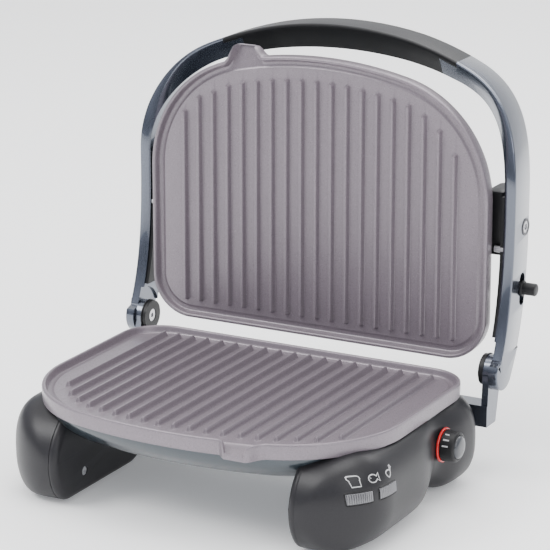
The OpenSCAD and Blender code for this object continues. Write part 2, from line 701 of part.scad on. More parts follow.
block_out = cover_in - 0.3;
block_in = block_out - 16.7;
block_front = 123.5;
block_d = 32;
block_low = 180;
block_high = 234;
module block_body(g) translate([block_in - g, block_front - g, block_low - g])
    cube([block_out - block_in + 2 * g, block_d + 2 * g, block_high - block_low + 2 * g]);
module pivot_block() difference() {
    block_body(0);
    pivot_axis(block_in + 2) cylinder(h = 30, r = bolt_r + run, $fn = 48);
}
module left_pivot_block() color(black) mirror([1, 0, 0]) pivot_block();
module right_pivot_block() color(black) pivot_block();
module lid_pivot_bolts() color(silver) both_sides() difference() {
    union() {
        pivot_axis(block_in + 4) cylinder(h = arm_x - 1.5 - block_in - 4, r = bolt_r, $fn = 48);
        pivot_axis(arm_x - 1.45) cylinder(h = 1.6, r = bolt_r + 1, $fn = 48);
    }
    pivot_axis(arm_x - 1.4) cylinder(h = 3, r = 3, $fn = 6);
}
module pivot_rings() color([0.3, 0.32, 0.35]) both_sides() pivot_axis(arm_x - 1.45) difference() {
    cylinder(h = 2, r = bolt_ring_r, $fn = 48);
    translate([0, 0, -1]) cylinder(h = 4, r = bolt_r + 1.02, $fn = 48);
}
stop_r = 2.8;
stop_y = block_front - stop_r - 0.3;
stop_z = 187;
module tilt_stops() color(silver) both_sides() translate([157.5, stop_y, stop_z]) rotate([0, 90, 0])
    cylinder(h = arm_x - arm_t - 0.1 - 157.5, r = stop_r, $fn = 32);

peg_out = 13;
module release_peg() color(black) translate([0, slot_y, peg_z]) rotate([0, 90, 0]) {
    translate([0, 0, cover_in - 2.2]) cylinder(h = 2, r = 6.4, $fn = 48);
    translate([0, 0, cover_in - 1]) cylinder(h = arm_x - cover_in + 2, r = slot_w / 2 - 0.08, $fn = 48);
    translate([0, 0, arm_x + 0.2]) cylinder(h = 1.8, r = 6.6, $fn = 48);
    translate([0, 0, arm_x + 1]) cylinder(h = peg_out - 1.8, r = 5.25, $fn = 48);
    translate([0, 0, arm_x + peg_out - 0.81]) cylinder(h = 0.8, r1 = 5.25, r2 = 4.5, $fn = 48);
}

lid_edge = 5;
lid_flat = 100;
lid_tuck = 9;
function lid_ring(t, g) =
    ring(outline(lid_edge + (lid_flat - lid_edge) * (1 - cos(t)) + g), -lid_tuck - (lid_depth - lid_tuck) * sin(t) + g);
lid_steps = 10;
module lid_shell() color(metal) difference() {
    in_lid() {
        loft(concat(
            [for (i = [lid_steps:-1:0]) lid_ring(90 * i / lid_steps, 0)],
            [ring(outline(lid_edge), rim_top), ring(outline(lid_edge + shell_t), rim_top)],
            [for (i = [0:lid_steps]) lid_ring(90 * i / lid_steps, shell_t)]
        ));
        for (sx = [-1, 1], sy = [-1, 1]) translate([sx * post_x / 2, sy * post_y / 2, -lid_depth + 1])
            cylinder(h = lid_depth - 1 + tray_z - seat, r = 5, $fn = 32);
    }
    both_sides() block_body(0.05);
}
module upper_reflector() in_lid() translate([0, 0, tray_z]) reflector();
module upper_element() in_lid() translate([0, 0, tray_z]) element();
module upper_plate_clips() in_lid() plate_clips(3.5, lid_edge + (lid_flat - lid_edge)
    * (1 - cos(asin((clip_drop - clip_t - lid_tuck) / (lid_depth - lid_tuck)))));
module lower_plate() color(lilac) in_base() plate_casting();
module upper_plate() color(lilac) in_lid() plate_casting();

base_shell();
lower_reflector();
lower_element();
lower_plate_clips();
left_pod_cap();
right_pod_cap();
left_pod_cover();
right_pod_cover();
pod_cover_screws();
indicator_lenses();
indicator_lamps();
thermostat();
terminal_block();
cord_gland();
rubber_feet();
knob_ring();
left_bracket();
right_bracket();
hinge_discs();
hinge_pins();
left_arm();
right_arm();
left_arm_cover();
right_arm_cover();
grip();
grip_screws();
lid_pivot_bolts();
pivot_rings();
tilt_stops();
release_peg();
lid_shell();
left_pivot_block();
right_pivot_block();
upper_reflector();
upper_element();
upper_plate_clips();
lower_plate();
upper_plate();
knob();
knob_cap();
knob_shaft();
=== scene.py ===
import math

import bpy
import numpy as np
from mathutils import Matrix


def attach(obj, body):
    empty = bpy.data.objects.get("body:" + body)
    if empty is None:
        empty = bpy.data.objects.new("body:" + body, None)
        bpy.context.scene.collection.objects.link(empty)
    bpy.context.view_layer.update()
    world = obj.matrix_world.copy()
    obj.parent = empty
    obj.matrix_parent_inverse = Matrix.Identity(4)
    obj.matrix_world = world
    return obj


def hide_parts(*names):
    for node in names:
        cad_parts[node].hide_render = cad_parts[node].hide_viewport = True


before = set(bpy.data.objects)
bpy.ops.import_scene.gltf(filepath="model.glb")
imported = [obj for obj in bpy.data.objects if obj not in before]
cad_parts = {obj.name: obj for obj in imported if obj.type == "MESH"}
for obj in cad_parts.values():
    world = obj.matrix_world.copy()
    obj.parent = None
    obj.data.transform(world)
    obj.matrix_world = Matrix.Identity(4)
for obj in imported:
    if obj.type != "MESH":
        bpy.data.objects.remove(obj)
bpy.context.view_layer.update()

bl_info = {
    "name": "Indoor grill with lid",
    "version": (1, 0, 0),
    "blender": (4, 5, 0),
    "location": "3D View > Sidebar > Grill",
    "description": "Ribbed grill plates, painted frame and shells, moulded pods and their stage",
    "category": "Add Mesh",
}

# Lengths in the code are millimetres, and are turned into metres with MM.
MM = 0.001
# Places of the outline's centre: of the lower plate on the base, and of the upper plate in the open lid.
PLATE_Y = -33 * MM
PLATE_Z = 84 * MM
UPPER_Y = 109 * MM
UPPER_Z = 212 * MM


class PlateSizes(bpy.types.PropertyGroup):
    """Sizes of the ribbed grill plates, in metres."""

    width: bpy.props.FloatProperty(name="Width", description="Width of a plate", default=0.314, unit="LENGTH")
    depth: bpy.props.FloatProperty(
        name="Depth", description="Depth of a plate, crown to back edge", default=0.240, unit="LENGTH"
    )
    crown: bpy.props.FloatProperty(name="Crown radius", description="Radius of the crown", default=0.340, unit="LENGTH")
    front: bpy.props.FloatProperty(
        name="Front corner", description="Radius of the front corners", default=0.100, unit="LENGTH"
    )
    back: bpy.props.FloatProperty(
        name="Back corner", description="Radius of the back corners", default=0.036, unit="LENGTH"
    )
    rib_pitch: bpy.props.FloatProperty(
        name="Rib pitch", description="Centre distance of the ribs", default=0.014, unit="LENGTH"
    )
    rib_height: bpy.props.FloatProperty(
        name="Rib height", description="Height of the ribs", default=0.0045, unit="LENGTH"
    )
    ribs: bpy.props.IntProperty(name="Ribs", description="Number of ribs", default=19, min=3)


class Finishes(bpy.types.PropertyGroup):
    """Colours of the painted, coated and moulded surfaces, linear."""

    ceramic: bpy.props.FloatVectorProperty(
        name="Plate coat", description="Speckled coat of the plates", subtype="COLOR", default=(0.205, 0.176, 0.202)
    )
    housing: bpy.props.FloatVectorProperty(
        name="Housing paint", description="Glossy paint of base and lid", subtype="COLOR", default=(0.022, 0.034, 0.045)
    )
    arms: bpy.props.FloatVectorProperty(
        name="Frame paint", description="Metallic paint of the frame", subtype="COLOR", default=(0.095, 0.108, 0.140)
    )
    pods: bpy.props.FloatVectorProperty(
        name="Pods", description="Charcoal moulded plastic", subtype="COLOR", default=(0.017, 0.0165, 0.019)
    )
    grip: bpy.props.FloatVectorProperty(
        name="Grip", description="Black grained plastic", subtype="COLOR", default=(0.007, 0.007, 0.008)
    )
    accent: bpy.props.FloatVectorProperty(
        name="Knob ring", description="Red ring round the knob", subtype="COLOR", default=(0.62, 0.02, 0.02)
    )


class StageSettings(bpy.types.PropertyGroup):
    """Camera and light of the studio."""

    azimuth: bpy.props.FloatProperty(
        name="Azimuth", description="Direction of the camera", default=math.radians(28.16), unit="ROTATION"
    )
    elevation: bpy.props.FloatProperty(
        name="Elevation", description="Height angle of the camera", default=math.radians(16.27), unit="ROTATION"
    )
    lens: bpy.props.FloatProperty(
        name="Lens", description="Focal length on a 36 mm sensor, in millimetres", default=177.7
    )
    place: bpy.props.FloatVectorProperty(
        name="Place", description="Place of the camera", subtype="TRANSLATION", unit="LENGTH",
        default=(1.0045, -1.8417, 0.7859),
    )
    key: bpy.props.FloatProperty(name="Key light", description="Power of the key light", default=62.0)


class Value:
    """A shader socket that can be used in plain Python expressions."""

    def __init__(self, mat, out):
        self.mat = mat
        self.out = out

    def _math(self, op, *others):
        return self.mat.node("ShaderNodeMath", {"operation": op}, [self, *others])

    def __add__(self, other):
        return self._math("ADD", other)

    __radd__ = __add__

    def __mul__(self, other):
        return self._math("MULTIPLY", other)

    def __sub__(self, other):
        return self._math("SUBTRACT", other)

    def __rsub__(self, other):
        return self.mat.node("ShaderNodeMath", {"operation": "SUBTRACT"}, [other, self])

    def soft(self, low, high):
        """Smooth step from 0 at low to 1 at high."""
        return self.mat.node(
            "ShaderNodeMapRange", {"interpolation_type": "SMOOTHSTEP"}, [self, low, high, 0.0, 1.0]
        )


class Finish:
    """A procedural material on a Principled surface, read in Object coordinates."""

    def __init__(self, name, **sockets):
        self.data = bpy.data.materials.new(name)
        self.data.use_nodes = True
        self.tree = self.data.node_tree
        self.shader = self.tree.nodes["Principled BSDF"]
        for key, value in sockets.items():
            self.set(key, value)
        coord = self.tree.nodes.new("ShaderNodeTexCoord")
        self.place = Value(self, coord.outputs["Object"])

    def feed(self, socket, value):
        """Links a varying value to a socket, or sets it to a constant; a tuple is a colour."""
        if isinstance(value, Value):
            self.tree.links.new(value.out, socket)
        else:
            socket.default_value = (*value, 1.0) if isinstance(value, tuple) else value

    def set(self, key, value):
        """Gives a value to the surface's socket of this name."""
        self.feed(self.shader.inputs[key.replace("_", " ")], value)

    def node(self, kind, settings, values, output=0):
        """Any node: its type, its settings, and the values or links of its sockets."""
        made = self.tree.nodes.new(kind)
        for key, value in settings.items():
            setattr(made, key, value)
        for key, value in values.items() if isinstance(values, dict) else enumerate(values):
            self.feed(made.inputs[key], value)
        return Value(self, made.outputs[output])

    def noise(self, scale, detail=2.0, rough=0.5):
        return self.node(
            "ShaderNodeTexNoise", {},
            {"Vector": self.place, "Scale": scale, "Detail": detail, "Roughness": rough},
        )

    def cells(self, scale):
        """Random colour of each cell."""
        return self.node("ShaderNodeTexVoronoi", {}, {"Vector": self.place, "Scale": scale}, "Color")

    def blend(self, factor, low, high):
        """Colour between two colours."""
        return self.node("ShaderNodeMix", {"data_type": "RGBA"}, {0: factor, 6: low, 7: high}, 2)

    def dress(self, colour, roughness, height, depth):
        """Gives the surface its varying colour, roughness and relief of this depth, and is then done."""
        self.set("Base Color", colour)
        self.set("Roughness", roughness)
        self.set("Normal", self.node("ShaderNodeBump", {}, {"Height": height, "Distance": depth}))
        return self.data


def shade(colour, k):
    return tuple(min(c * k, 1.0) for c in colour)


def plate_coat(colour):
    """Satin ceramic coat: fine dark and light grains with a few bright flakes."""
    m = Finish("ceramic_coat", Metallic=0.35, Coat_Weight=0.25, Coat_Roughness=0.2, Specular_IOR_Level=0.5)
    grain = m.noise(2100.0, 2.0, 0.7)
    mottle = m.noise(60.0, 3.0)
    flakes = m.node("ShaderNodeSeparateColor", {}, [m.cells(1900.0)])
    bright = flakes.soft(0.93, 0.99)
    dark = 1.0 - flakes.soft(0.03, 0.12)
    base = m.blend(grain.soft(0.3, 0.7), shade(colour, 0.86), shade(colour, 1.12))
    base = m.blend(dark * 0.38, base, shade(colour, 0.4))
    base = m.blend(bright * 0.5, base, shade(colour, 1.9))
    base = m.blend(mottle.soft(0.35, 0.75) * 0.10, base, shade(colour, 0.8))
    return m.dress(base, 0.33 + grain * 0.10 - bright * 0.12, grain * 0.6 + bright * 0.4, 0.00006)


def gloss_paint(name, colour, metallic, flake, rough=0.28):
    """Glossy lacquer over a metallic coat, with slight orange peel."""
    m = Finish(name, Metallic=metallic, Coat_Weight=1.0, Coat_Roughness=0.05, Specular_IOR_Level=0.5)
    grains = m.noise(2600.0, 1.0)
    peel = m.noise(260.0, 2.0)
    smear = m.noise(14.0, 3.0)
    coat = m.blend(grains.soft(0.35, 0.7), shade(colour, 1.0 - flake), shade(colour, 1.0 + flake))
    return m.dress(coat, rough + smear * 0.08, peel, 0.000006)


def moulded(name, colour, rough, grain_scale, grain_depth, sheen=1.6):
    """Moulded plastic with an eroded fine grain and slight handling marks."""
    m = Finish(name, Metallic=0.0, Specular_IOR_Level=0.3)
    grain = m.noise(grain_scale, 3.0, 0.65)
    wear = m.noise(22.0, 4.0)
    skin = m.blend(grain.soft(0.3, 0.75), shade(colour, 0.82), shade(colour, sheen * 0.75))
    return m.dress(skin, rough + wear * 0.12 - grain * 0.06, grain, grain_depth)


def bare_metal(name, colour, rough, scale=900.0):
    """Bare metal with fine draw marks and slight dulling."""
    m = Finish(name, Metallic=1.0)
    marks = m.noise(scale, 2.0)
    stain = m.noise(30.0, 3.0)
    metal = m.blend(stain.soft(0.3, 0.8), colour, shade(colour, 0.82))
    return m.dress(metal, rough + marks * 0.14, marks, 0.00001)


def smooth_plastic(name, colour, rough):
    """Glossy plastic with faint flow marks."""
    m = Finish(name, Metallic=0.0, Coat_Weight=0.3, Coat_Roughness=0.1)
    flow = m.noise(120.0, 2.0)
    gloss = m.blend(flow.soft(0.3, 0.7), shade(colour, 0.9), shade(colour, 1.08))
    return m.dress(gloss, rough + flow * 0.06, flow, 0.00001)


MATERIALS = {}


def make_materials(c):
    """All finishes by the name of their slot in the record."""
    MATERIALS.update(
        ceramic_grey=plate_coat(tuple(c.ceramic)),
        gloss_slate=gloss_paint("housing_paint", tuple(c.housing), 0.55, 0.25),
        arm_grey=gloss_paint("frame_paint", tuple(c.arms), 0.85, 0.12, 0.22),
        charcoal_plastic=moulded("charcoal_moulding", tuple(c.pods), 0.34, 1500.0, 0.00003),
        black_plastic=moulded("black_grip_moulding", tuple(c.grip), 0.40, 1900.0, 0.00006, 2.2),
        bright_steel=bare_metal("bright_steel", (0.60, 0.60, 0.62), 0.25),
        sheet_aluminium=bare_metal("sheet_aluminium", (0.74, 0.74, 0.75), 0.35),
        dark_metal=bare_metal("dark_sheath", (0.14, 0.14, 0.15), 0.4),
        lens_silver=bare_metal("ribbed_lens", (0.20, 0.20, 0.21), 0.22, 300.0),
        print_white=moulded("white_print", (0.55, 0.55, 0.56), 0.5, 900.0, 0.00001, 1.4),
        lamp_red=smooth_plastic("lamp_glass", (0.75, 0.25, 0.15), 0.1),
        red_ring=smooth_plastic("red_ring", tuple(c.accent), 0.18),
        grey_cap=smooth_plastic("grey_cap", (0.045, 0.048, 0.055), 0.25),
        block_white=moulded("white_block", (0.72, 0.70, 0.66), 0.6, 900.0, 0.00003, 1.4),
        foot_rubber=moulded("foot_rubber", (0.02, 0.02, 0.02), 0.75, 1200.0, 0.00006, 1.8),
    )


def mesh_object(name, points, faces, slot_name, body, replaces=(), split=0.6):
    """Puts whole arrays into a mesh and dresses it: material, body and the nodes it stands for.

    The white print has no slot in the record.
    """
    mesh = bpy.data.meshes.new(name)
    faces = np.asarray(faces, dtype=np.int32)
    mesh.vertices.add(len(points))
    mesh.vertices.foreach_set("co", np.asarray(points, dtype=np.float32).ravel())
    k = faces.shape[1]
    mesh.loops.add(faces.size)
    mesh.loops.foreach_set("vertex_index", faces.ravel())
    mesh.polygons.add(len(faces))
    mesh.polygons.foreach_set("loop_start", np.arange(0, faces.size, k, dtype=np.int32))
    mesh.update(calc_edges=True)
    mesh.validate()
    piece = bpy.data.objects.new(name, mesh)
    bpy.context.scene.collection.objects.link(piece)
    mesh.materials.append(MATERIALS[slot_name])
    mesh.shade_smooth()
    mesh.set_sharp_from_angle(angle=split)
    slot_name != "print_white"
    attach(piece, body)
    if replaces:
        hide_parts(*replaces)
    return piece


def tube_faces(rows, cols, loop=False):
    """Triangle pairs between the rows of a grid whose columns close on themselves, and with loop its rows too."""
    r = np.arange(rows if loop else rows - 1)[:, None]
    c, beside, after = np.arange(cols), (np.arange(cols) + 1) % cols, (r + 1) % rows
    a, b, d, e = ((row * cols + col).ravel() for row in (r, after) for col in (c, beside))
    return np.concatenate([np.stack([a, b, e], 1), np.stack([a, e, d], 1)])


def cap_faces(first, cols, centre, flip):
    """A fan from one row of points to a centre point."""
    i = np.arange(cols)
    a, b = first + i, first + (i + 1) % cols
    c = np.full(cols, centre)
    return np.stack([b, a, c] if flip else [a, b, c], 1)


def loft(rings):
    """Closed skin through rings, each an array of points: sides plus a fan at either end."""
    rings = np.asarray(rings)
    rows, cols = rings.shape[:2]
    points = np.concatenate([rings.reshape(-1, 3), rings[:1].mean(1), rings[-1:].mean(1)])
    return points, np.concatenate([
        tube_faces(rows, cols),
        cap_faces(0, cols, rows * cols, True),
        cap_faces((rows - 1) * cols, cols, rows * cols + 1, False),
    ])


def xyz(x, y, z):
    """Points from their coordinates, any of which may be shared by all."""
    return np.stack(np.broadcast_arrays(x, y, z), -1)


def joined(*parts):
    """Several (points, faces) pairs as one."""
    points, faces, n = [], [], 0
    for p, f in parts:
        points.append(p)
        faces.append(f + n)
        n += len(p)
    return np.concatenate(points), np.concatenate(faces)


def bezier(p0, p1, p2, p3, t):
    """Cubic curve through p0 and p3, drawn towards p1 and p2."""
    t = np.asarray(t)[:, None]
    s = 1 - t
    return s**3 * np.array(p0) + 3 * s * s * t * np.array(p1) + 3 * s * t * t * np.array(p2) + t**3 * np.array(p3)


def smoothstep(x, low, high):
    u = np.clip((x - low) / (high - low), 0, 1)
    return u * u * (3 - 2 * u)


def plate_sizes():
    return bpy.context.scene.grill_plate


def front_arcs(inset):
    """The outline's front drawn in by inset: the crown's radius and centre y, the corner's radius and centre."""
    p = plate_sizes()
    rf = max(p.front - inset, 12 * MM)
    rc = p.crown - inset
    cx = p.width / 2 - inset - rf
    yc = p.crown - p.depth / 2
    return rc, yc, rf, cx, yc - math.sqrt((rc - rf) ** 2 - cx**2)


def back_corner(inset):
    """Radius and centre of the outline's right back corner, drawn in by inset."""
    p = plate_sizes()
    r = max(p.back - inset, 10 * MM)
    return r, p.width / 2 - inset - r, p.depth / 2 - inset - r


def outline(inset, z, crown=48):
    """Ring of points round the plate at height z: arcs of crown and corners, counter-clockwise."""
    rc, yc, rf, cx, cy = front_arcs(inset)
    rb, bx, by = back_corner(inset)
    a = math.asin(cx / (rc - rf))
    arcs = (
        (0, yc, rc, 1.5 * math.pi - a, 1.5 * math.pi + a, crown),
        (cx, cy, rf, 1.5 * math.pi + a, 2 * math.pi, 36),
        (bx, by, rb, 0, math.pi / 2, 24),
        (-bx, by, rb, math.pi / 2, math.pi, 24),
        (-cx, cy, rf, math.pi, 1.5 * math.pi - a, 36),
    )
    rows = []
    for x, y, r, a0, a1, n in arcs:
        t = np.linspace(a0, a1, n, endpoint=False) + (a1 - a0) / (2 * n)
        rows.append(xyz(x + r * np.cos(t), y + r * np.sin(t), z))
    return np.concatenate(rows)


def crown_line(x, inset):
    """Front line of the outline at x: the crown's circle, then the corner's."""
    rc, yc, rf, cx, cy = front_arcs(inset)
    corner = cy - np.sqrt(np.maximum(rf**2 - np.maximum(np.abs(x) - cx, 0) ** 2, 1e-9))
    crown = yc - np.sqrt(np.maximum(rc**2 - x**2, 1e-9))
    return np.where(np.abs(x) < rc * cx / (rc - rf), crown, corner)


SPOUT_X = 67 * MM
# The spout: lip beyond the crown, inset where its trough begins, half width there and loss of it at the lip.
SPOUT_LIP, SPOUT_THROAT, SPOUT_HALF, SPOUT_TAPER = 4, 7.5, 18, 9.5
# The channel's floor, the trough's fall towards the lip, and the notches for the clips in the back rim.
CHANNEL_Z, TROUGH_FALL = -1.2, 3.4
NOTCH_X, NOTCH_HALF, NOTCH_Z = 90, 9, 0.8
# Inset of the rim's inner edge, underside of the plate, and ends of the ribs from the crown and the back edge.
RIM, PLATE_LOW = 10.4, -3.6
RIB_FRONT, RIB_BACK = 21.5, 17.0
# Rim section from the underside over the rim into the channel: (inset mm, height mm).
RIM_SECTION = (
    (2.9, PLATE_LOW), (2.6, -7.7), (2.2, -8.0), (1.3, -8.0), (0.7, -7.6), (0.4, -6.6), (0.15, -2.0), (0.0, 2.2),
    (0.05, 3.6), (0.3, 4.35), (0.8, 4.8), (1.4, 4.95), (2.2, 5.0), (2.8, 4.8), (3.2, 4.3), (3.5, 3.4), (4.0, 1.2),
    (4.4, -0.2), (4.9, -0.9), (5.6, CHANNEL_Z), (8.0, CHANNEL_Z), (9.0, -0.9), (9.8, -0.15), (RIM, -0.02),
    (RIM + 1.2, -0.12), (RIM + 1.6, -3.0),
)


def rim_surface():
    """Rim ring: its section is swept round the outline, and at the spout it leans out and sinks to a straight lip."""
    tip = -plate_sizes().depth / 2 - SPOUT_LIP * MM
    rings = []
    for inset, z in RIM_SECTION:
        ring = outline(inset * MM, z * MM, 480)
        x, y = ring[:, 0], ring[:, 1]
        out = float(np.clip((SPOUT_THROAT - inset) / SPOUT_THROAT, 0, 1))
        half = SPOUT_HALF - SPOUT_TAPER * out
        aside = np.abs(x - SPOUT_X) / MM
        k = np.where(y < 0, smoothstep(aside, half + 1.7, half - 1.7), 0.0)
        lean = np.where(y < 0, smoothstep(aside, 18.5, 8.5), 0.0)
        floor = CHANNEL_Z - TROUGH_FALL * out**1.4
        if z > -1.9 and inset < 9:
            ring[:, 2] = np.where(k > 0, z + (min(z, floor) - z) * k, z) * MM
        if inset < 4.9:
            off = np.abs(np.abs(x) / MM - NOTCH_X)
            notch = np.where(y > 0, smoothstep(off, NOTCH_HALF + 0.3, NOTCH_HALF - 0.3), 0.0)
            ring[:, 2] += (min(z, NOTCH_Z) - z) * notch * MM
        ring[:, 1] = y - (crown_line(x, 0.0) - tip) * lean * out**0.8
        rings.append(ring)
    rings = np.array(rings)
    return rings.reshape(-1, 3), tube_faces(*rings.shape[:2], loop=True)


def plate_field():
    """Floor inside the channel with its ribs: rounded trapezoids with round ends.

    Columns run along the ribs; x is dense over each flank and y is dense at both ends.
    """
    p = plate_sizes()
    inset = (RIM - 0.3) * MM
    n = (p.ribs - 1) / 2
    local = np.array([-2.9, -2.4, -2.0, -1.6, -1.2, -0.7, 0, 0.7, 1.2, 1.6, 2.0, 2.4, 2.9, 7.0]) * MM
    xs = (np.arange(-n, n + 1)[:, None] * p.rib_pitch + local[None, :]).ravel()
    w = p.width / 2 - inset - 0.05 * MM
    edge = w - np.array([0, 0.1, 0.3, 0.7, 1.3, 2.2, 3.6, 5.5]) * MM
    xs = np.unique(np.round(np.concatenate([xs[np.abs(xs) < w - 6 * MM], edge, -edge]), 6))
    rb, bx, by = back_corner(inset)
    front = crown_line(xs, inset)
    back = by + np.sqrt(np.maximum(rb**2 - np.maximum(np.abs(xs) - bx, 0) ** 2, 1e-9))
    i = np.clip(np.round(xs / p.rib_pitch), -n, n)
    xr = i * p.rib_pitch
    y0 = crown_line(xr, RIB_FRONT * MM) - 5 * MM * np.maximum(0, i + n - p.ribs + 3)
    y1 = np.full_like(xs, p.depth / 2 - RIB_BACK * MM)
    y0 = np.clip(y0, front + 0.5 * MM, back - 3 * MM)
    y1 = np.clip(y1, y0 + 1 * MM, back - 0.5 * MM)
    ends = np.array([-3.0, -2.5, -2.0, -1.6, -1.2, -0.7, 0.0, 1.5]) * MM
    mid = np.linspace(0, 1, 24)[1:-1]
    lo, hi = (y0 + 1.5 * MM)[:, None], (y1 - 1.5 * MM)[:, None]
    ys = np.concatenate([
        front[:, None], y0[:, None] + ends[None, :], lo + (hi - lo) * mid[None, :],
        y1[:, None] - ends[::-1][None, :], back[:, None],
    ], 1)
    ys = np.maximum.accumulate(np.clip(ys, front[:, None], back[:, None]), axis=1)
    reach = np.hypot((xs - xr)[:, None], np.maximum(np.maximum(y0[:, None] - ys, ys - y1[:, None]), 0))
    z = smoothstep(reach, 2.75 * MM, 0.75 * MM) * p.rib_height
    z = z * smoothstep(np.abs(xs), w, w - 4 * MM)[:, None]
    points = xyz(xs[:, None], ys, z)
    rows, cols = ys.shape
    a = (np.arange(rows - 1)[:, None] * cols + np.arange(cols - 1)).ravel()
    b = a + cols
    top = np.concatenate([np.stack([a, b, b + 1], 1), np.stack([a, b + 1, a + 1], 1)])
    idx = np.arange(rows * cols).reshape(rows, cols)
    loop = np.concatenate([idx[:-1, 0], idx[-1, :-1], idx[:0:-1, -1], idx[0, :0:-1]])
    points = points.reshape(-1, 3)
    low = points[loop].copy()
    low[:, 2] = PLATE_LOW * MM
    base, m = len(points), len(loop)
    nxt = np.roll(np.arange(m), -1)
    after = np.roll(loop, -1)
    wall = np.concatenate([
        np.stack([after, loop, base + np.arange(m)], 1),
        np.stack([after, base + np.arange(m), base + nxt], 1),
    ])
    points = np.concatenate([points, low, np.array([[0, 0, PLATE_LOW * MM]])])
    return points, np.concatenate([top, wall, cap_faces(base, m, len(points) - 1, True)])


def plate_surface():
    """Whole casting: the rim ring and the ribbed field inside it."""
    return joined(rim_surface(), plate_field())


def to_base(points):
    return points + np.array([0, PLATE_Y, PLATE_Z])


def to_lid(points):
    """Turns the casting over: its crown points up and its ribs face the front."""
    x, y, z = points.T
    return xyz(-x, UPPER_Y - z, UPPER_Z - y)


def shell_ring(depth, inset):
    return outline(inset * MM, -depth * MM)


def quarter_rings(edge, flat, tuck, depth, steps):
    """Rings that run from the edge over a quarter of an ellipse down to a flat middle."""
    t = np.linspace(0, math.pi / 2, steps)
    turns = zip(1 - np.cos(t), np.sin(t))
    return [shell_ring(tuck + (depth - tuck) * b, edge + (flat - edge) * a) for a, b in turns]


# Insets of the shells' outer and inner wall, height of their edge below the plate, and their wall.
SHELL_OUT, SHELL_IN, SHELL_EDGE, SHELL_WALL = 5.0, 7.5, 3.7, 2.4


def shell_rings(flat, tuck, depth, steps):
    """Both walls of a shell, from the middle of the outer one round the edge to the inner one."""
    outer = quarter_rings(SHELL_OUT, flat, tuck, depth, steps)
    inner = quarter_rings(SHELL_IN, flat, tuck, depth - SHELL_WALL, 14)
    return [*outer[::-1], shell_ring(SHELL_EDGE, SHELL_OUT), shell_ring(SHELL_EDGE, SHELL_IN), *inner]


def bowl_surface():
    """Base bowl: a tucked rim, a quarter ellipse down to the flat floor, and its inner wall."""
    depth, middle = 36.0, 88.0
    rings = shell_rings(60.0, 8.0, depth, 26)
    return loft([shell_ring(depth, middle), *rings, shell_ring(depth - SHELL_WALL, middle)])


def lid_surface():
    """Lid shell: the same outline, domed to a soft flat top."""
    return loft(shell_rings(100.0, 9.0, 51.0, 34))


HINGE_Y, HINGE_Z = 103.5, 89.0
PIVOT_Y, PIVOT_Z = 139.2, 203.0
KNOB_X, KNOB_Y, KNOB_Z = 160.9, 23.0, 48.5
# The pods: seam with their covers, side, round nose and tail, underside and top of the middle.
SEAM_X, POD_X = 110.0, 167.0
NOSE_Y, NOSE_R = -141.0, 57.0
TAIL_Y, TAIL_R = 102.0, 40.0
POD_LOW, POD_MID, POD_HIGH = 2.0, 36.0, 79.0
# Quarter ellipses at the ends of the underside and of the top: where each begins, and its length.
LOW_NOSE, LOW_TAIL = (-118.0, 23.0), (80.0, 22.0)
HIGH_NOSE, HIGH_TAIL = (-95.0, 46.0), (62.0, 40.0)
SCREW_YS, SCREW_Z = (-98.0, 60.0), 20.0
# Share of a section that is flat, and the power of its superelliptic outside.
POD_FLAT, POD_POWER = 0.44, 2.5


def quarter(u):
    return np.sqrt(np.maximum(1 - u * u, 0.0001))


def pod_reach(y):
    """Reach of a pod beyond its seam: round nose and tail, with a dip beside the knob."""
    nose = quarter((y - NOSE_Y - NOSE_R) / NOSE_R)
    tail = quarter((y - TAIL_Y + TAIL_R) / TAIL_R)
    k = np.where(y < NOSE_Y + NOSE_R, nose, np.where(y > TAIL_Y - TAIL_R, tail, 1.0))
    return (POD_X - SEAM_X) * k - 9.5 * np.exp(-(((y - KNOB_Y + 8) / 24) ** 2))


def pod_edge(y, nose, tail, end, middle):
    """Height of an edge: middle, between the quarter ellipses that lead from POD_MID to end."""
    (y0, r0), (y1, r1) = nose, tail
    curve = POD_MID + (end - POD_MID) * np.where(y < y0, quarter((y - y0) / r0), quarter((y - y1) / r1))
    return np.where((y < y0) | (y > y1), curve, middle)


def pod_low(y):
    """Underside, with an arch between the two lobes."""
    arch = POD_LOW + 14 * np.sin(np.pi * np.clip((y + 25) / 70, 0, 1)) ** 2
    return pod_edge(y, LOW_NOSE, LOW_TAIL, POD_LOW, arch)


def pod_high(y):
    return pod_edge(y, HIGH_NOSE, HIGH_TAIL, POD_HIGH, POD_HIGH)


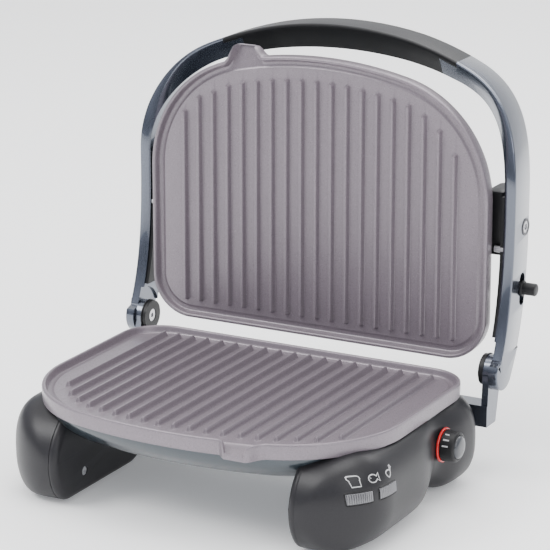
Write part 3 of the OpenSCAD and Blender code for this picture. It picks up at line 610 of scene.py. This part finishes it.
def pod_surface():
    """Pod skin: sections flat towards the seam and superelliptic outside."""
    x0 = SEAM_X + 0.15
    t = np.linspace(0, 1, 110)
    y = np.interp(t, [0, 0.3, 0.8, 1], [0, 1, 2, 3])
    nose = NOSE_Y + NOSE_R - NOSE_R * np.cos(np.radians(4 + 86 * np.clip(y, 0, 1)))
    mid = np.interp(y, [1, 2], [NOSE_Y + NOSE_R, TAIL_Y - TAIL_R])
    tail = TAIL_Y - TAIL_R + TAIL_R * np.sin(np.radians(86 * np.clip(y - 2, 0, 1)))
    y = np.where(y < 1, nose, np.where(y < 2, mid, tail))[:, None]
    r = np.maximum(pod_reach(y), 1.0)
    xm = SEAM_X + POD_FLAT * r
    rx = SEAM_X + r - xm
    zl = pod_low(y)
    zh = np.maximum(pod_high(y), zl + 1)
    zc, h = (zl + zh) / 2, (zh - zl) / 2
    e = 2 / POD_POWER
    q = np.radians(90 * np.linspace(0, 1, 17))
    cos_q, sin_q = np.abs(np.cos(q)) ** e, np.abs(np.sin(q)) ** e
    x_flat = x0 + (xm - x0) * np.linspace(0, 1, 7)
    parts = (
        (x_flat[:, :-1], zl),
        (xm + rx * cos_q[::-1], zc - h * sin_q[::-1]),
        (xm + rx * cos_q[1:], zc + h * sin_q[1:]),
        (x_flat[:, ::-1][:, 1:], zh),
    )
    rings = np.concatenate([xyz(x, y, z) for x, z in parts], 1)
    return loft(rings[:, ::-1] * MM)


def mirrored(part):
    """The same skin on the other side, its faces turned so that they still point outwards."""
    points, faces = part
    return points * np.array([-1, 1, 1]), faces[:, ::-1]


def pod_cover_surface():
    """Inner cover: the seam's outline with a rolled edge that runs in over 7 mm."""
    (y0, r0), (y1, r1) = LOW_NOSE, LOW_TAIL
    y = np.concatenate([
        y0 - r0 * np.cos(np.radians(np.linspace(3, 90, 26))),
        np.linspace(y0 + 2, y1 - 2, 70),
        y1 + r1 * np.sin(np.radians(np.linspace(2, 86, 24))),
    ])
    rings = []
    for x, g in ((110.0, 0.3), (109.3, 0.0), (107.5, 0.1), (105.8, 0.7), (104.3, 1.9), (103.3, 3.6), (103.0, 5.4)):
        ys = y + g * (np.clip((-100 - y) / 41, 0, 1) - np.clip((y - 70) / 32, 0, 1))
        low = xyz(x, ys, pod_low(y) + g)
        high = xyz(x, ys, np.maximum(pod_high(y) - g, pod_low(y) + g + 0.5))
        rings.append(np.concatenate([low, high[::-1]]))
    solid = loft(np.array(rings)[:, ::-1] * MM)
    holes = [revolved([(90.0, 4.0), (106.6, 4.0)], 32, (0, y, SCREW_Z)) for y in SCREW_YS]
    return carved(solid, *holes)


CROOK_Z, BEND_Z = 100.0, 230.0
ARM_IN, ARM_OUT, ARM_DEPTH = 166.0, 176.0, 32.0
ARM_STEPS, BEND_STEPS = 24, 52
# Side view of the frame's front, as (y, z): from the crook up past the lid's pivot, and on to the crown.
LEAN = np.concatenate([
    bezier((116, 220), (116, 170), (112, 134), (96, 100), np.linspace(1, 0, 24)),
    bezier((116, 236), (116, 272), (134, 300), (149, 345), np.linspace(0, 1, 30)),
])


def front_line(z):
    """Front line of the handle frame seen from the side: it leans back over the lid's pivot."""
    return np.interp(z, LEAN[:, 1], LEAN[:, 0])


def crown_point(x, r, top):
    return np.stack([x, top - r + np.sqrt(r * r - x * x)], 1)


def bend(x0, join, r, top, pull0, pull1, ends):
    """Half of the frame's outline: straight arm, cubic bend, then the crown's circle."""
    p = crown_point(np.array([join]), r, top)[0]
    d = np.array([math.sqrt(1 - (join / r) ** 2), -join / r])
    straight = np.stack([np.full(ARM_STEPS, x0), np.linspace(CROOK_Z, BEND_Z, ARM_STEPS)], 1)
    z = BEND_Z + 4
    curve = bezier((x0, z), (x0, z + pull0), p + pull1 * d, p, np.linspace(0, 1, BEND_STEPS))
    return np.concatenate([straight, curve, crown_point(ends, r, top)])


OUTER_ENDS = np.concatenate([np.linspace(118, 92, 13), np.linspace(88, 0, 24)])
INNER_ENDS = np.concatenate([np.linspace(101.6, 84, 13), np.linspace(80.6, 0, 24)])
OUTER = bend(ARM_OUT, 120.0, 310.0, 352.0, 66, 20, OUTER_ENDS)
INNER = bend(ARM_IN, 103.0, 375.0, 330.0, 52, 30, INNER_ENDS)


def frame_rings(first, last):
    """Sections of the bent frame between two stations of its outline.

    Each has a front ridge, a slanted inner face that widens in the corner, and rounded edges.
    """
    o, n = OUTER[first:last], INNER[first:last]
    w = np.linalg.norm(o - n, axis=1)
    u = (n - o) / w[:, None]
    k = smoothstep(np.arange(first, last), 30, 62)
    ridge, cut = 8 - 5.5 * k, 1.5 + 9.5 * k
    near = w - 0.6

    def slant(inward):
        return cut * ((inward - ridge) / (w - ridge))

    # (way in from the outer face, way back from the front), from the outer face round the front.
    section = (
        (0.0, 2.6), (0.0, 1.5), (0.25, 0.75), (0.8, 0.2), (1.6, 0.0), (ridge - 0.4, 0.0),
        (ridge + 0.8, slant(ridge + 0.8)), ((ridge + w) / 2, slant((ridge + w) / 2)), (near, slant(near)),
        (near + 0.4, slant(near) + 0.25), (w, cut + 0.8), (w, ARM_DEPTH - 2.5), (w - 2.5, ARM_DEPTH),
        (4.0, ARM_DEPTH), (1.6, ARM_DEPTH - 0.2), (0.5, ARM_DEPTH - 0.7), (0.0, ARM_DEPTH - 2),
    )
    y = front_line(o[:, 1])
    rows = []
    for inward, back in section:
        p = o + u * np.broadcast_to(inward, w.shape)[:, None]
        rows.append(xyz(p[:, 0], y + back, p[:, 1]))
    return np.stack(rows, 1)


def both_halves(rings):
    """The frame's sections from the right end over the crown to the left end."""
    left = rings[:-1][::-1].copy()
    left[:, :, 0] *= -1
    return np.concatenate([rings, left])


def revolved(profile, steps, axis_point):
    """Skin of a profile of (distance along, radius) turned round an axis along X."""
    t = np.linspace(0, 2 * math.pi, steps, endpoint=False)
    along, radius = np.asarray(profile, dtype=float).T
    rings = xyz(along[:, None], radius[:, None] * np.cos(t), radius[:, None] * np.sin(t))
    return loft((rings + np.asarray(axis_point)) * MM)


def carved(solid, *tools):
    """The solid less every tool, cut exactly, as triangles."""
    made = []
    for points, faces in (solid, *tools):
        mesh = bpy.data.meshes.new("cutting")
        mesh.from_pydata(points.tolist(), [], faces.tolist())
        made.append(bpy.data.objects.new("cutting", mesh))
        bpy.context.scene.collection.objects.link(made[-1])
    body = made[0]
    for tool in made[1:]:
        cut = body.modifiers.new("cut", "BOOLEAN")
        cut.operation, cut.solver, cut.object = "DIFFERENCE", "EXACT", tool
        cut.use_self = True
    mesh = bpy.data.meshes.new_from_object(body.evaluated_get(bpy.context.evaluated_depsgraph_get()))
    mesh.calc_loop_triangles()
    points = np.empty(len(mesh.vertices) * 3)
    mesh.vertices.foreach_get("co", points)
    faces = np.empty(len(mesh.loop_triangles) * 3, dtype=np.int32)
    mesh.loop_triangles.foreach_get("vertices", faces)
    bpy.data.meshes.remove(mesh)
    for piece in made:
        data = piece.data
        bpy.data.objects.remove(piece)
        bpy.data.meshes.remove(data)
    return points.reshape(-1, 3), faces.reshape(-1, 3)


def outward(part):
    """The same closed skin with its faces turned outwards, judged by its signed volume."""
    points, faces = part
    a, b, c = (points[faces[:, i]] for i in range(3))
    return (points, faces) if np.einsum("ij,ij->i", a, np.cross(b, c)).sum() > 0 else (points, faces[:, ::-1])


def block(low, high, soften):
    """A box with rounded upright edges and softened top and bottom, from rings along Z."""
    low, high = np.asarray(low, float), np.asarray(high, float)
    centre, half = (low + high) / 2, (high - low) / 2
    steps = 5
    quad, inner = np.divmod(np.arange(4 * (steps + 1)), steps + 1)
    a = (quad + inner / steps) * math.pi / 2
    sx = np.array([1, -1, -1, 1])[quad]
    sy = np.array([1, 1, -1, -1])[quad]
    rings = []
    for z, g in ((-half[2], soften), (-half[2] + 0.3 * soften, 0.3 * soften), (-half[2] + soften, 0),
                 (half[2] - soften, 0), (half[2] - 0.3 * soften, 0.3 * soften), (half[2], soften)):
        r = max(soften * 1.6 - g * 0.5, 0.05)
        x = sx * (half[0] - g - r) + r * np.cos(a)
        y = sy * (half[1] - g - r) + r * np.sin(a)
        rings.append(xyz(x, y, z) + centre)
    return loft(np.array(rings) * MM)


def both_sides(*skins):
    """Each side's name with its skins: as given on the right, mirrored on the left."""
    yield "right", skins
    yield "left", [mirrored(skin) for skin in skins]


class GRILL_OT_plates(bpy.types.Operator):
    """Adds the lower and upper ribbed plates."""

    bl_idname = "grill.plates"
    bl_label = "Ribbed plates"

    def execute(self, context):
        points, faces = plate_surface()
        mesh_object("Lower_ribbed_plate", to_base(points), faces, "ceramic_grey", "lower_plate", ["lower_plate"])
        mesh_object("Upper_ribbed_plate", to_lid(points), faces, "ceramic_grey", "upper_plate", ["upper_plate"])
        return {"FINISHED"}


class GRILL_OT_shells(bpy.types.Operator):
    """Adds the painted bowl of the base and the domed shell of the lid."""

    bl_idname = "grill.shells"
    bl_label = "Base bowl and lid shell"

    def execute(self, context):
        points, faces = bowl_surface()
        mesh_object("Base_bowl", to_base(points), faces, "gloss_slate", "base", ["base_shell"])
        points, faces = lid_surface()
        mesh_object("Lid_shell", to_lid(points), faces, "gloss_slate", "lid", ["lid_shell"])
        return {"FINISHED"}


class GRILL_OT_pods(bpy.types.Operator):
    """Adds the two-lobed pods with their inner covers."""

    bl_idname = "grill.pods"
    bl_label = "Pods and covers"

    def execute(self, context):
        for side, (skin, cover) in both_sides(pod_surface(), pod_cover_surface()):
            name = side.title()
            mesh_object(f"{name}_pod", *skin, "charcoal_plastic", "base", [f"{side}_pod_cap"], split=0.9)
            mesh_object(f"{name}_pod_cover", *cover, "charcoal_plastic", "base", [f"{side}_pod_cover"])
        return {"FINISHED"}


# Station of the outline where arm and grip meet; each runs on past it and is cut back to their step.
MEET = ARM_STEPS + BEND_STEPS + 5
# The step, seen from the front: corners of its slanted tread, and the gap between arm and grip.
STEP_IN, STEP_OUT, STEP_GAP = np.array([92.0, 333.0]), np.array([109.0, 327.2]), 0.1
# Radii of an arm's lower eye, of the fork cut for the hinge disc and of the recess for the pivot's bolt.
EYE_R, FORK_R, BOLT_R = 16.0, 24.5, 7.0
PEG_Y, PEG_Z = 135.0, 152.0
SLOT_R, SLOT_LOW, SLOT_HIGH = 5.0, 142.6, 160.0


class GRILL_OT_frame(bpy.types.Operator):
    """Adds the two painted arms and the black grip between them."""

    bl_idname = "grill.frame"
    bl_label = "Arms and grip"

    def execute(self, context):
        arm = joined(loft(frame_rings(0, MEET + 10)[:, ::-1] * MM), self.lower_end())
        fork = self.drum(HINGE_Y, HINGE_Z, FORK_R, ARM_IN - 16, ARM_IN + 2)
        bolt = self.drum(PIVOT_Y, PIVOT_Z, BOLT_R, ARM_OUT - 1.5, ARM_OUT + 4)
        low, high, far = 200, 500, 60
        over = self.prism([(-far, low), (STEP_IN[0], low), STEP_IN, STEP_OUT, (STEP_OUT[0], high), (-far, high)])
        step_in, step_out = STEP_IN + STEP_GAP, STEP_OUT + STEP_GAP
        under = self.prism([(step_in[0], low), (low, low), (low, high), (step_out[0], high), step_out, step_in])
        arm = carved(arm, over)
        left, right = mirrored(carved(arm, fork, bolt)), carved(arm, fork, bolt, self.slot())
        for name, part in (("Left_arm", left), ("Right_arm", right)):
            mesh_object(name, *part, "arm_grey", "handle_frame", [name.lower()], split=0.5)
        rings = both_halves(frame_rings(MEET - 6, len(OUTER))) * MM
        grip = carved(loft(rings[:, ::-1]), under, outward(mirrored(under)))
        mesh_object("Grip", *grip, "black_plastic", "handle_frame", ["grip"], split=0.5)
        return {"FINISHED"}

    def prism(self, line):
        """A block with this outline, seen from the front, that passes right through the frame."""
        return outward(loft(np.array([[(x, y, z) for x, z in line] for y in (80.0, 260.0)]) * MM))

    def drum(self, y, z, radius, x0, x1):
        """Cylinder along X between x0 and x1."""
        return revolved([(x0, radius), (x1, radius)], 72, (0, y, z))

    def slot(self):
        """Upright slot with round ends, right through the arm."""
        t = np.linspace(0, 2 * math.pi, 48, endpoint=False)
        y = PEG_Y + SLOT_R * np.cos(t)
        z = np.where(np.sin(t) >= 0, SLOT_HIGH, SLOT_LOW) + SLOT_R * np.sin(t)
        return loft(np.array([xyz(x, y, z) for x in (150.0, 180.0)]) * MM)

    def lower_end(self):
        """Round eye of an arm with the neck above it, as one outline with softened edges."""
        t = np.radians(np.linspace(153, 333, 60))
        front = np.array([(front_line(z), z) for z in np.linspace(104.0, 98.5, 6)])
        low = np.stack([HINGE_Y + EYE_R * np.cos(t), HINGE_Z + EYE_R * np.sin(t)], 1)
        back = front[::-1] + np.array([ARM_DEPTH, 0])
        line = np.concatenate([front, low, back])
        step = np.roll(line, -1, 0) - np.roll(line, 1, 0)
        normal = np.stack([step[:, 1], -step[:, 0]], 1) / np.linalg.norm(step, axis=1)[:, None]
        rings = []
        edge = (ARM_IN, 1.2), (166.3, 0.4), (167.0, 0.0), (174.6, 0.0), (175.4, 0.25), (175.85, 0.8), (ARM_OUT, 1.7)
        for x, g in edge:
            p = line - normal * g
            rings.append(xyz(x, p[:, 0], p[:, 1]))
        return loft(np.array(rings) * MM)


# Profiles of turned pieces as (distance along X, radius); those of the knob start at its back face.
PEG_PROFILE = (
    (160.9, 6.3), (162.7, 6.3), (162.8, 4.9), (176.2, 4.9), (176.2, 6.2), (176.5, 6.55), (177.6, 6.55),
    (178.1, 6.1), (178.2, 5.0), (178.9, 5.0), (179.1, 5.25), (187.9, 5.25), (188.6, 4.9), (188.9, 4.3),
)
KNOB_PROFILE = (
    (0.0, 9.0), (0.0, 12.6), (0.4, 13.0), (9.8, 12.5), (10.8, 12.2), (11.5, 11.5), (11.8, 10.4), (11.3, 9.6),
)
DOME_PROFILE = (
    (10.8, 9.5), (11.9, 9.4), (12.7, 8.9), (13.5, 7.9), (14.1, 6.3), (14.45, 4.4), (14.6, 2.2), (14.65, 0.6),
)
RING_PROFILE = ((158.7, 12.0), (158.7, 13.8), (159.0, 14.2), (160.0, 14.2), (160.5, 13.8), (160.5, 12.0))
PIVOT_BLOCK = ((146.2, 123.6, 180.1), (162.6, 155.4, 233.9))


class GRILL_OT_fittings(bpy.types.Operator):
    """Adds the lid's pivot blocks and the release peg."""

    bl_idname = "grill.fittings"
    bl_label = "Pivot blocks and peg"

    def execute(self, context):
        for side, (part,) in both_sides(block(*PIVOT_BLOCK, 2.2)):
            mesh_object(f"{side.title()}_pivot_block", *part, "black_plastic", "lid", [f"{side}_pivot_block"])
        peg = revolved(PEG_PROFILE, 64, (0, PEG_Y, PEG_Z))
        mesh_object("Release_peg", *peg, "black_plastic", "release_peg", ["release_peg"])
        return {"FINISHED"}


class GRILL_OT_knob(bpy.types.Operator):
    """Adds the smooth knob, its three marks, its domed cap and the red ring behind it."""

    bl_idname = "grill.knob"
    bl_label = "Knob"

    def execute(self, context):
        axis = (KNOB_X, KNOB_Y, KNOB_Z)
        mesh_object("Knob_body", *revolved(KNOB_PROFILE, 144, axis), "black_plastic", "knob", ["knob"])
        marks = [self.mark(math.radians(turn), end) for turn, end in ((118, 3.6), (141, 5.0), (164, 5.0))]
        mesh_object("Knob_marks", *joined(*marks), "print_white", "knob", split=0.5)
        mesh_object("Knob_dome", *revolved(DOME_PROFILE, 96, axis), "grey_cap", "knob", ["knob_cap"])
        ring = revolved(RING_PROFILE, 96, (0, KNOB_Y, KNOB_Z))
        mesh_object("Knob_red_ring", *ring, "red_ring", "base", ["knob_ring"])
        return {"FINISHED"}

    def mark(self, turn, length):
        """A thin bar printed along the knob's tapered side."""
        a = turn + np.linspace(-0.045, 0.045, 5)
        back, top, sunk = 2.2, 0.06, -0.3
        box = []
        for x, lift in ((back, sunk), (back, top), (back + length, top), (back + length, sunk)):
            r = 12.98 - 0.05 * x + lift
            box.append(xyz(KNOB_X + x, KNOB_Y + r * np.cos(a), KNOB_Z + r * np.sin(a)))
        return outward(loft(np.array(box).transpose(1, 0, 2) * MM))


# Middles of the two windows and of the three prints, in degrees round the pod's corner, and their heights.
WINDOWS, WINDOW_Z, WINDOW_HALF = (53, 82), 49.5, 11.0
TOAST, FISH, DRUMSTICK, PRINT_Z = 52.5, 69, 87, 62.3


class GRILL_OT_lenses(bpy.types.Operator):
    """Adds the two ribbed indicator windows and the food pictograms over them, curved with the pod's corner."""

    bl_idname = "grill.lenses"
    bl_label = "Indicator windows and pictograms"

    def execute(self, context):
        parts = [self.lens(math.radians(a)) for a in WINDOWS]
        mesh_object("Indicator_windows", *joined(*parts), "lens_silver", "base", ["indicator_lenses"], split=0.5)
        frames = [self.bezel(math.radians(a)) for a in WINDOWS]
        mesh_object("Window_surrounds", *joined(*frames), "black_plastic", "base", split=0.5)
        prints = []
        for draw, turn in ((self.toast, TOAST), (self.fish, FISH), (self.drumstick, DRUMSTICK)):
            prints += draw(math.radians(turn))
        mesh_object("Food_pictograms", *joined(*prints), "print_white", "base", split=0.5)
        return {"FINISHED"}

    def stroke(self, line, angle, closed=False):
        """A printed line, 0.75 mm wide: a flat closed strip that follows the pod's corner."""
        line = np.asarray(line, dtype=float)
        if closed:
            line = np.concatenate([line, line[:2]])
        step = np.gradient(line, axis=0)
        side = np.stack([-step[:, 1], step[:, 0]], 1) / np.maximum(np.linalg.norm(step, axis=1), 1e-6)[:, None]
        half, sunk, top = 0.375, -0.4, 0.18
        rings = []
        for k, lift in ((-half, sunk), (half, sunk), (half, top), (-half, top)):
            u, v = (line + side * k).T
            rings.append(self.on_pod(angle + u / NOSE_R, PRINT_Z + v, lift))
        return outward(loft(np.array(rings).transpose(1, 0, 2) * MM))

    def toast(self, angle):
        line = [(-3.6, -3.8), (3.6, -3.8), (3.9, 0.8), (4.7, 2.0), (4.3, 3.4), (2.8, 4.0), (-2.8, 4.0), (-4.3, 3.4),
                (-4.7, 2.0), (-3.9, 0.8)]
        return [self.stroke(line, angle, True)]

    def fish(self, angle):
        t = np.linspace(0.35, 2 * math.pi - 0.35, 26)
        body = np.stack([3.9 * np.cos(t) - 1.2, 2.9 * np.sin(t)], 1)
        tail = [(2.4, 1.0), (5.2, 3.0), (4.6, 0.0), (5.2, -3.0), (2.4, -1.0)]
        eye = [(-3.4, 0.5), (-2.8, 0.7)]
        return [self.stroke(body, angle), self.stroke(tail, angle), self.stroke(eye, angle)]

    def drumstick(self, angle):
        t = np.linspace(0, 2 * math.pi, 24, endpoint=False)
        meat = np.stack([2.9 * np.cos(t) - 1.2 + 0.7 * np.sin(2 * t), 2.6 * np.sin(t) - 0.9], 1)
        bone = [(0.9, 0.8), (2.6, 2.8), (2.2, 3.9), (3.2, 3.7), (3.9, 4.4), (4.0, 3.2), (4.9, 2.7), (3.6, 2.3),
                (1.9, 0.2)]
        return [self.stroke(meat, angle, True), self.stroke(bone, angle)]

    def lens(self, angle):
        """Curved window: fine upright prisms run round the corner's radius."""
        half = WINDOW_HALF / NOSE_R
        a = angle + np.linspace(-half, half, 121)
        prism = 0.55 * np.abs(((np.arange(121) / 10.0) % 1) * 2 - 1)
        rings = []
        for z, lift in ((45.2, -1.0), (45.3, 0.0), (45.7, 0.35), (53.3, 0.35), (53.7, 0.0), (53.8, -1.0)):
            rings.append(self.on_pod(a, z, 0.05 + np.where(lift > 0, lift * 0.4 + prism, lift * 0.5)))
        return loft(np.array(rings).transpose(1, 0, 2)[::-1] * MM)

    def on_pod(self, angle, z, lift):
        """Points over the pod's front corner, at an angle round it and a height, raised by lift."""
        angle, z, lift = np.broadcast_arrays(np.asarray(angle, dtype=float), z, lift)
        y = NOSE_Y + NOSE_R - NOSE_R * np.cos(angle)
        y = np.where(angle > math.pi / 2, NOSE_Y + NOSE_R * (1 + angle - math.pi / 2), y)
        turn = np.minimum(angle, math.pi / 2)
        low, high = pod_low(y), pod_high(y)
        u = np.abs(2 * z - low - high) / (high - low)
        share = POD_FLAT + (1 - POD_FLAT) * (1 - np.minimum(u, 1) ** POD_POWER) ** (1 / POD_POWER)
        nx, ny = np.sin(turn), -share * np.cos(turn)
        size = np.hypot(nx, ny)
        x = SEAM_X + NOSE_R * share * np.sin(turn)
        return xyz(x + lift * nx / size, y + lift * ny / size, z)

    def bezel(self, angle):
        """Dark rim round a window: a thin tube along its rounded rectangle."""
        t = np.linspace(0, 2 * math.pi, 96, endpoint=False)
        u, v = (np.sign(w) * np.abs(w) ** 0.28 for w in (np.cos(t), np.sin(t)))
        rings = []
        for rise, k in ((0.0, 0.0), (0.35, 0.25), (0.35, 0.75), (0.0, 1.0)):
            across = u * (WINDOW_HALF + 0.6) * (1 + (0.09 * k - 0.02))
            z = WINDOW_Z + v * 5.0 * (1 + (0.18 * k - 0.04))
            rings.append(self.on_pod(angle + across / NOSE_R, z, rise - 0.05))
        points = np.array(rings) * MM
        return points.reshape(-1, 3), tube_faces(len(rings), len(t), loop=True)[:, ::-1]


# Nodes of the CAD that are shown as they are, by their finish.
CARRIED = {
    "sheet_aluminium": ("lower_reflector", "upper_reflector", "thermostat"),
    "dark_metal": ("lower_element", "upper_element", "pivot_rings"),
    "bright_steel": (
        "lower_plate_clips", "upper_plate_clips", "pod_cover_screws", "hinge_pins", "grip_screws",
        "lid_pivot_bolts", "tilt_stops", "knob_shaft",
    ),
    "black_plastic": ("cord_gland", "hinge_discs", "left_arm_cover", "right_arm_cover"),
    "arm_grey": ("left_bracket", "right_bracket"),
    "lamp_red": ("indicator_lamps",),
    "block_white": ("terminal_block",),
    "foot_rubber": ("rubber_feet",),
}


class GRILL_OT_carried(bpy.types.Operator):
    """Gives every carried-over piece its finish."""

    bl_idname = "grill.carried"
    bl_label = "Finish the carried pieces"

    def execute(self, context):
        for slot_name, nodes in CARRIED.items():
            for node in nodes:
                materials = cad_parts[node].data.materials
                materials.clear()
                materials.append(MATERIALS[slot_name])
        return {"FINISHED"}


class GRILL_OT_stage(bpy.types.Operator):
    """Adds the pale floor, the studio lights and the camera."""

    bl_idname = "grill.stage"
    bl_label = "Stage"

    def execute(self, context):
        s = context.scene.grill_stage
        self.floor()
        self.world()
        self.light("Key_light", (-1.6, -1.5, 2.3), s.key, 1.5, 1.2)
        self.light("Fill_light", (2.2, -1.2, 1.3), s.key * 0.30, 1.4, 1.6)
        self.light("Back_light", (0.3, 2.0, 2.0), s.key * 0.55, 2.2, 0.9)
        self.light("Top_light", (0.1, -0.1, 2.6), s.key * 0.75, 1.8, 1.8)
        camera = bpy.data.cameras.new("Camera")
        camera.lens = s.lens
        camera.sensor_width = 36.0
        camera.clip_end = 50.0
        eye = bpy.data.objects.new("Camera", camera)
        eye.location = s.place
        eye.rotation_euler = (math.pi / 2 - s.elevation, 0.0, s.azimuth)
        context.scene.collection.objects.link(eye)
        context.scene.camera = eye
        return {"FINISHED"}

    def floor(self):
        """Pale sweep: flat under the machine, rising gently far behind it."""
        rows, cols = 25, 60
        x, y = np.meshgrid(np.linspace(-6, 6, rows), np.linspace(-5, 8, cols), indexing="ij")
        z = 0.18 * np.maximum(y - 3.5, 0) ** 2
        points = xyz(x, y, z).reshape(-1, 3)
        a = (np.arange(rows - 1)[:, None] * cols + np.arange(cols - 1)).ravel()
        faces = np.stack([a, a + cols, a + cols + 1, a + 1], 1)
        mesh = bpy.data.meshes.new("Floor")
        mesh.from_pydata(points.tolist(), [], faces.tolist())
        mesh.shade_smooth()
        piece = bpy.data.objects.new("Floor", mesh)
        bpy.context.scene.collection.objects.link(piece)
        m = Finish("studio_floor", Roughness=0.65, Specular_IOR_Level=0.25)
        cloud = m.noise(0.8, 2.0)
        m.set("Base Color", m.blend(cloud.soft(0.3, 0.8), (0.97, 0.97, 0.97), (0.99, 0.99, 0.99)))
        m.set("Emission Color", (0.9, 0.92, 0.95))
        m.set("Emission Strength", 0.22)
        mesh.materials.append(m.data)

    def world(self):
        """Soft studio surround: bright overhead, dim towards the horizon."""
        world = bpy.data.worlds.new("Studio")
        world.use_nodes = True
        tree = world.node_tree
        background = tree.nodes["Background"]
        place = tree.nodes.new("ShaderNodeTexCoord")
        parts = tree.nodes.new("ShaderNodeSeparateXYZ")
        ramp = tree.nodes.new("ShaderNodeValToRGB")
        tree.links.new(place.outputs["Generated"], parts.inputs[0])
        tree.links.new(parts.outputs["Z"], ramp.inputs[0])
        tree.links.new(ramp.outputs[0], background.inputs["Color"])
        stops = ramp.color_ramp.elements
        stops[0].position, stops[0].color = 0.02, (0.10, 0.11, 0.13, 1.0)
        stops[1].position, stops[1].color = 0.75, (1.0, 1.0, 1.0, 1.0)
        middle = stops.new(0.30)
        middle.color = (0.42, 0.44, 0.50, 1.0)
        background.inputs["Strength"].default_value = 1.5
        bpy.context.scene.world = world

    def light(self, name, place, power, width, height):
        """A rectangular lamp that is turned towards the middle of the machine."""
        data = bpy.data.lights.new(name, "AREA")
        data.shape = "RECTANGLE"
        data.size, data.size_y = width, height
        data.energy = power
        lamp = bpy.data.objects.new(name, data)
        lamp.location = place
        x, y, z = (goal - start for goal, start in zip((0.0, 0.0, 0.15), place))
        lamp.rotation_euler = (math.atan2(math.hypot(x, y), -z), 0.0, math.atan2(y, x) - math.pi / 2)
        bpy.context.scene.collection.objects.link(lamp)


class GRILL_PT_panel(bpy.types.Panel):
    """Sizes, finishes and the steps of the build."""

    bl_idname = "GRILL_PT_panel"
    bl_label = "Indoor grill"
    bl_space_type = "VIEW_3D"
    bl_region_type = "UI"
    bl_category = "Grill"

    def draw(self, context):
        for name in GROUPS:
            group = getattr(context.scene, name)
            for key in group.__annotations__:
                self.layout.prop(group, key)
        for step in STEPS:
            self.layout.operator(step.bl_idname)


GROUPS = {"grill_plate": PlateSizes, "grill_finish": Finishes, "grill_stage": StageSettings}
STEPS = (
    GRILL_OT_stage, GRILL_OT_plates, GRILL_OT_shells, GRILL_OT_pods, GRILL_OT_frame, GRILL_OT_fittings,
    GRILL_OT_knob, GRILL_OT_lenses, GRILL_OT_carried,
)


def register():
    for item in (*GROUPS.values(), *STEPS, GRILL_PT_panel):
        bpy.utils.register_class(item)
    for name, group in GROUPS.items():
        setattr(bpy.types.Scene, name, bpy.props.PointerProperty(type=group))


def unregister():
    for name in GROUPS:
        delattr(bpy.types.Scene, name)
    for item in (GRILL_PT_panel, *reversed(STEPS), *GROUPS.values()):
        bpy.utils.unregister_class(item)


def main():
    """Builds the whole scene in order."""
    register()
    make_materials(bpy.context.scene.grill_finish)
    for step in STEPS:
        family, name = step.bl_idname.split(".")
        if getattr(getattr(bpy.ops, family), name)() != {"FINISHED"}:
            raise RuntimeError(f"{step.bl_label} did not finish")


if __name__ == "__main__":
    main()
